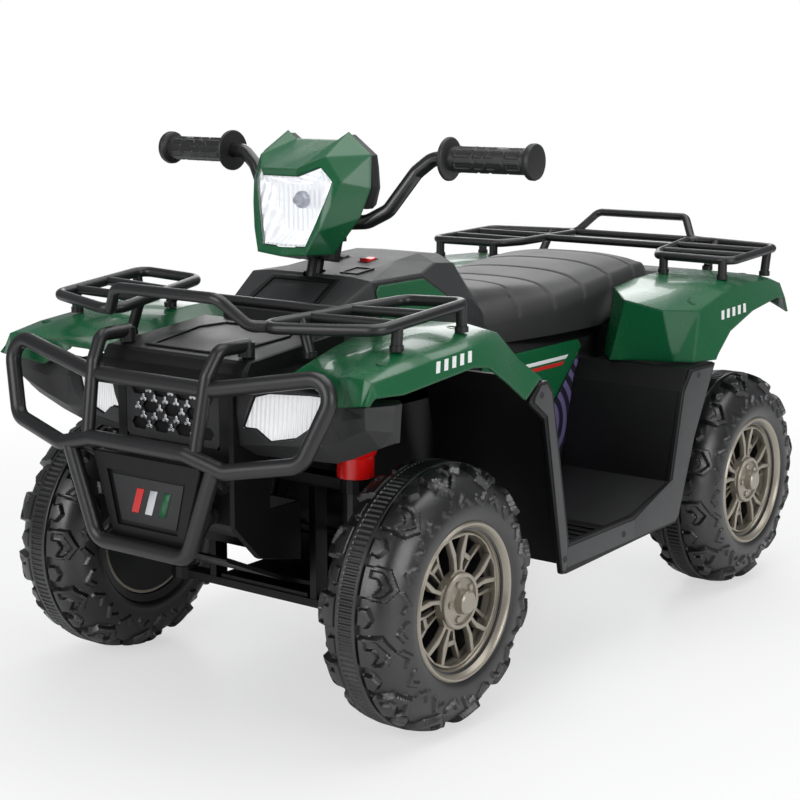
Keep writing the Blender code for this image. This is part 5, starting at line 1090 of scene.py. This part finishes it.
def seat_row(share):
    """The pad's outline across it. Each point is (across, height, how fully a channel presses there)."""
    half = read(SEAT_WIDTHS, share)
    crown = read(SEAT_CROWN, share)
    edge = read(SEAT_EDGE, share)
    y = SEAT_FRONT + share * SEAT_LENGTH
    base = float(np.interp(y, [p for p, _ in SEAT_FOOT], [v for _, v in SEAT_FOOT])) + SEAT_GAP
    waist = base + 0.30 * (edge - base)
    points = ((0.0, crown, 1.0), (0.36 * half, crown - 0.0008, 0.93), (0.66 * half, crown - 0.0045, 0.70),
              (half - 0.02, edge + 0.45 * (crown - edge), 0.42), (half - 0.0085, edge + 0.004, 0.28),
              (half - 0.001, edge - 0.008, 0.12), (half - 0.0004, base + 0.62 * (edge - base), 0.02),
              (half - 0.0035, waist, 0.0), (half - 0.005, base + 0.002, 0.0), (half - 0.008, base, 0.0))
    line, _ = eased(points, SEAT_STEP)
    steps = np.linspace(0, len(line) - 1, SEAT_COLUMNS)
    line = np.stack([np.interp(steps, np.arange(len(line)), line[:, k]) for k in range(3)], axis=1)
    row = []
    for x, z, pull in line:
        pull = max(0.0, pull)
        dip = 0.0
        for channel in SEAT_CHANNELS:
            gap = y - (SEAT_FRONT + channel * SEAT_LENGTH + CHANNEL_BOW * (pull - 0.5))
            dip += CHANNEL_DEPTH * exp(-(gap / CHANNEL_WIDTH) ** 2) * min(1.0, pull * 6.0)
        inward = 0.6 * dip if x > 0.8 * half else 0.0
        row.append((max(0.0, x - inward), y, max(z - dip, base)))
    return row + [(-x, b, z) for x, b, z in row[-1:0:-1]]


seat_rows = [seat_row(float(share)) for share in SEAT_SHARES]
vertices = [v for row in seat_rows for v in row]
columns = len(seat_rows[0])
last = len(vertices) - columns
faces = wrapped(len(seat_rows), columns)[:-columns]
faces += [tuple(range(columns)), tuple(last + k for k in reversed(range(columns)))]
vinyl = Finish("black_vinyl", Sheen_Weight=0.1)
vinyl.shades(12.0, (0.007, 0.007, 0.0072), (0.012, 0.012, 0.0122)).blotches(16.0, 0.46, 0.60)
leather = vinyl.node("ShaderNodeTexVoronoi", {}, {"Vector": vinyl.place(), "Scale": 520.0})
vinyl.relief(leather, 0.00022)
pad = piece("vinyl_seat", (vertices, faces), vinyl, ["seat"], crease=50.0)

# Studio: a pale floor that runs out to white, four soft boxes and an even pale surround.
# The camera sees pure white behind it, and the object is lit by the dimmer surround and the boxes.
WHITE = (1.0, 1.0, 1.0, 1.0)
SURROUND = (0.93, 0.95, 1.0, 1.0)
SURROUND_LEVEL = 0.26
FLOOR_HALF = 9.0
AIM = Vector((0.0, 0.0, 0.3))
LAMPS = (("top_box", (0.3, 0.5, 2.9), 3.0, 66.0), ("left_box", (2.9, -0.9, 1.3), 1.6, 34.0),
         ("front_box", (-0.3, -3.1, 1.5), 2.0, 46.0), ("back_box", (-1.8, 2.4, 1.7), 1.8, 28.0))


def end_with(nodes, end, share, first, second):
    """Two shaders mixed by a share, into the tree's end node."""
    mixed = nodes.node("ShaderNodeMixShader", {}, {0: share, 1: first, 2: second})
    nodes.join(nodes.tree.nodes[end].inputs["Surface"], mixed)


floor_finish = Finish("studio_floor", Base_Color=(0.9, 0.9, 0.9, 1.0), Roughness=0.35)
seen = floor_finish.node("ShaderNodeLightPath", output="Is Camera Ray")
reach = floor_finish.node("ShaderNodeVectorMath", {"operation": "LENGTH"}, {0: floor_finish.place()},
                          output=1)
far = floor_finish.node("ShaderNodeValToRGB", {"stops": ((0.28, 0.0), (0.62, 1.0))}, {0: reach * 0.4})
glow = floor_finish.node("ShaderNodeEmission", {}, {"Color": WHITE})
pale = Wire(floor_finish, floor_finish.shader.outputs[0])
end_with(floor_finish, "Material Output", seen * (0.6 + 0.4 * far), pale, glow)
floor_mesh = bpy.data.meshes.new("studio_floor")
floor_corners = [(x, y, 0.0) for x, y in oblong(-FLOOR_HALF, -FLOOR_HALF, FLOOR_HALF, FLOOR_HALF)]
floor_mesh.from_pydata(floor_corners, [], [(0, 1, 2, 3)])
floor_mesh.materials.append(floor_finish.material)
linked("studio_floor", floor_mesh)

world = bpy.data.worlds.new("studio")
bpy.context.scene.world = world
world.use_nodes = True
sky = Nodes(world.node_tree)
sky.tree.nodes.remove(sky.tree.nodes["Background"])
surround = sky.node("ShaderNodeBackground", {}, {"Color": SURROUND, "Strength": SURROUND_LEVEL})
backdrop = sky.node("ShaderNodeBackground", {}, {"Color": WHITE, "Strength": 1.0})
end_with(sky, "World Output", sky.node("ShaderNodeLightPath", output="Is Camera Ray"), surround, backdrop)

for name, spot, size, power in LAMPS:
    light = bpy.data.lights.new(name, "AREA")
    light.shape = "SQUARE"
    light.size = size
    light.energy = power
    lamp = linked(name, light)
    lamp.location = spot
    lamp.rotation_euler = (AIM - Vector(spot)).to_track_quat("-Z", "Y").to_euler()

# Camera: at the photograph's viewing angle, from the rider's front left and a little above.
# A long lens on a 36 mm sensor, tilted down by about 11 degrees.
DOWNWARD = radians(11.003)
LEFTWARD = radians(36.953)
view = bpy.data.cameras.new("photo_view")
view.lens = 78.6
view.sensor_width = 36.0
camera = linked("photo_view", view)
camera.location = (1.3747, -1.904575, 0.7552)
camera.rotation_euler = (FULL_TURN / 4.0 - DOWNWARD, 0.0, LEFTWARD)
bpy.context.scene.camera = camera
bpy.context.scene.view_settings.view_transform = "Standard"
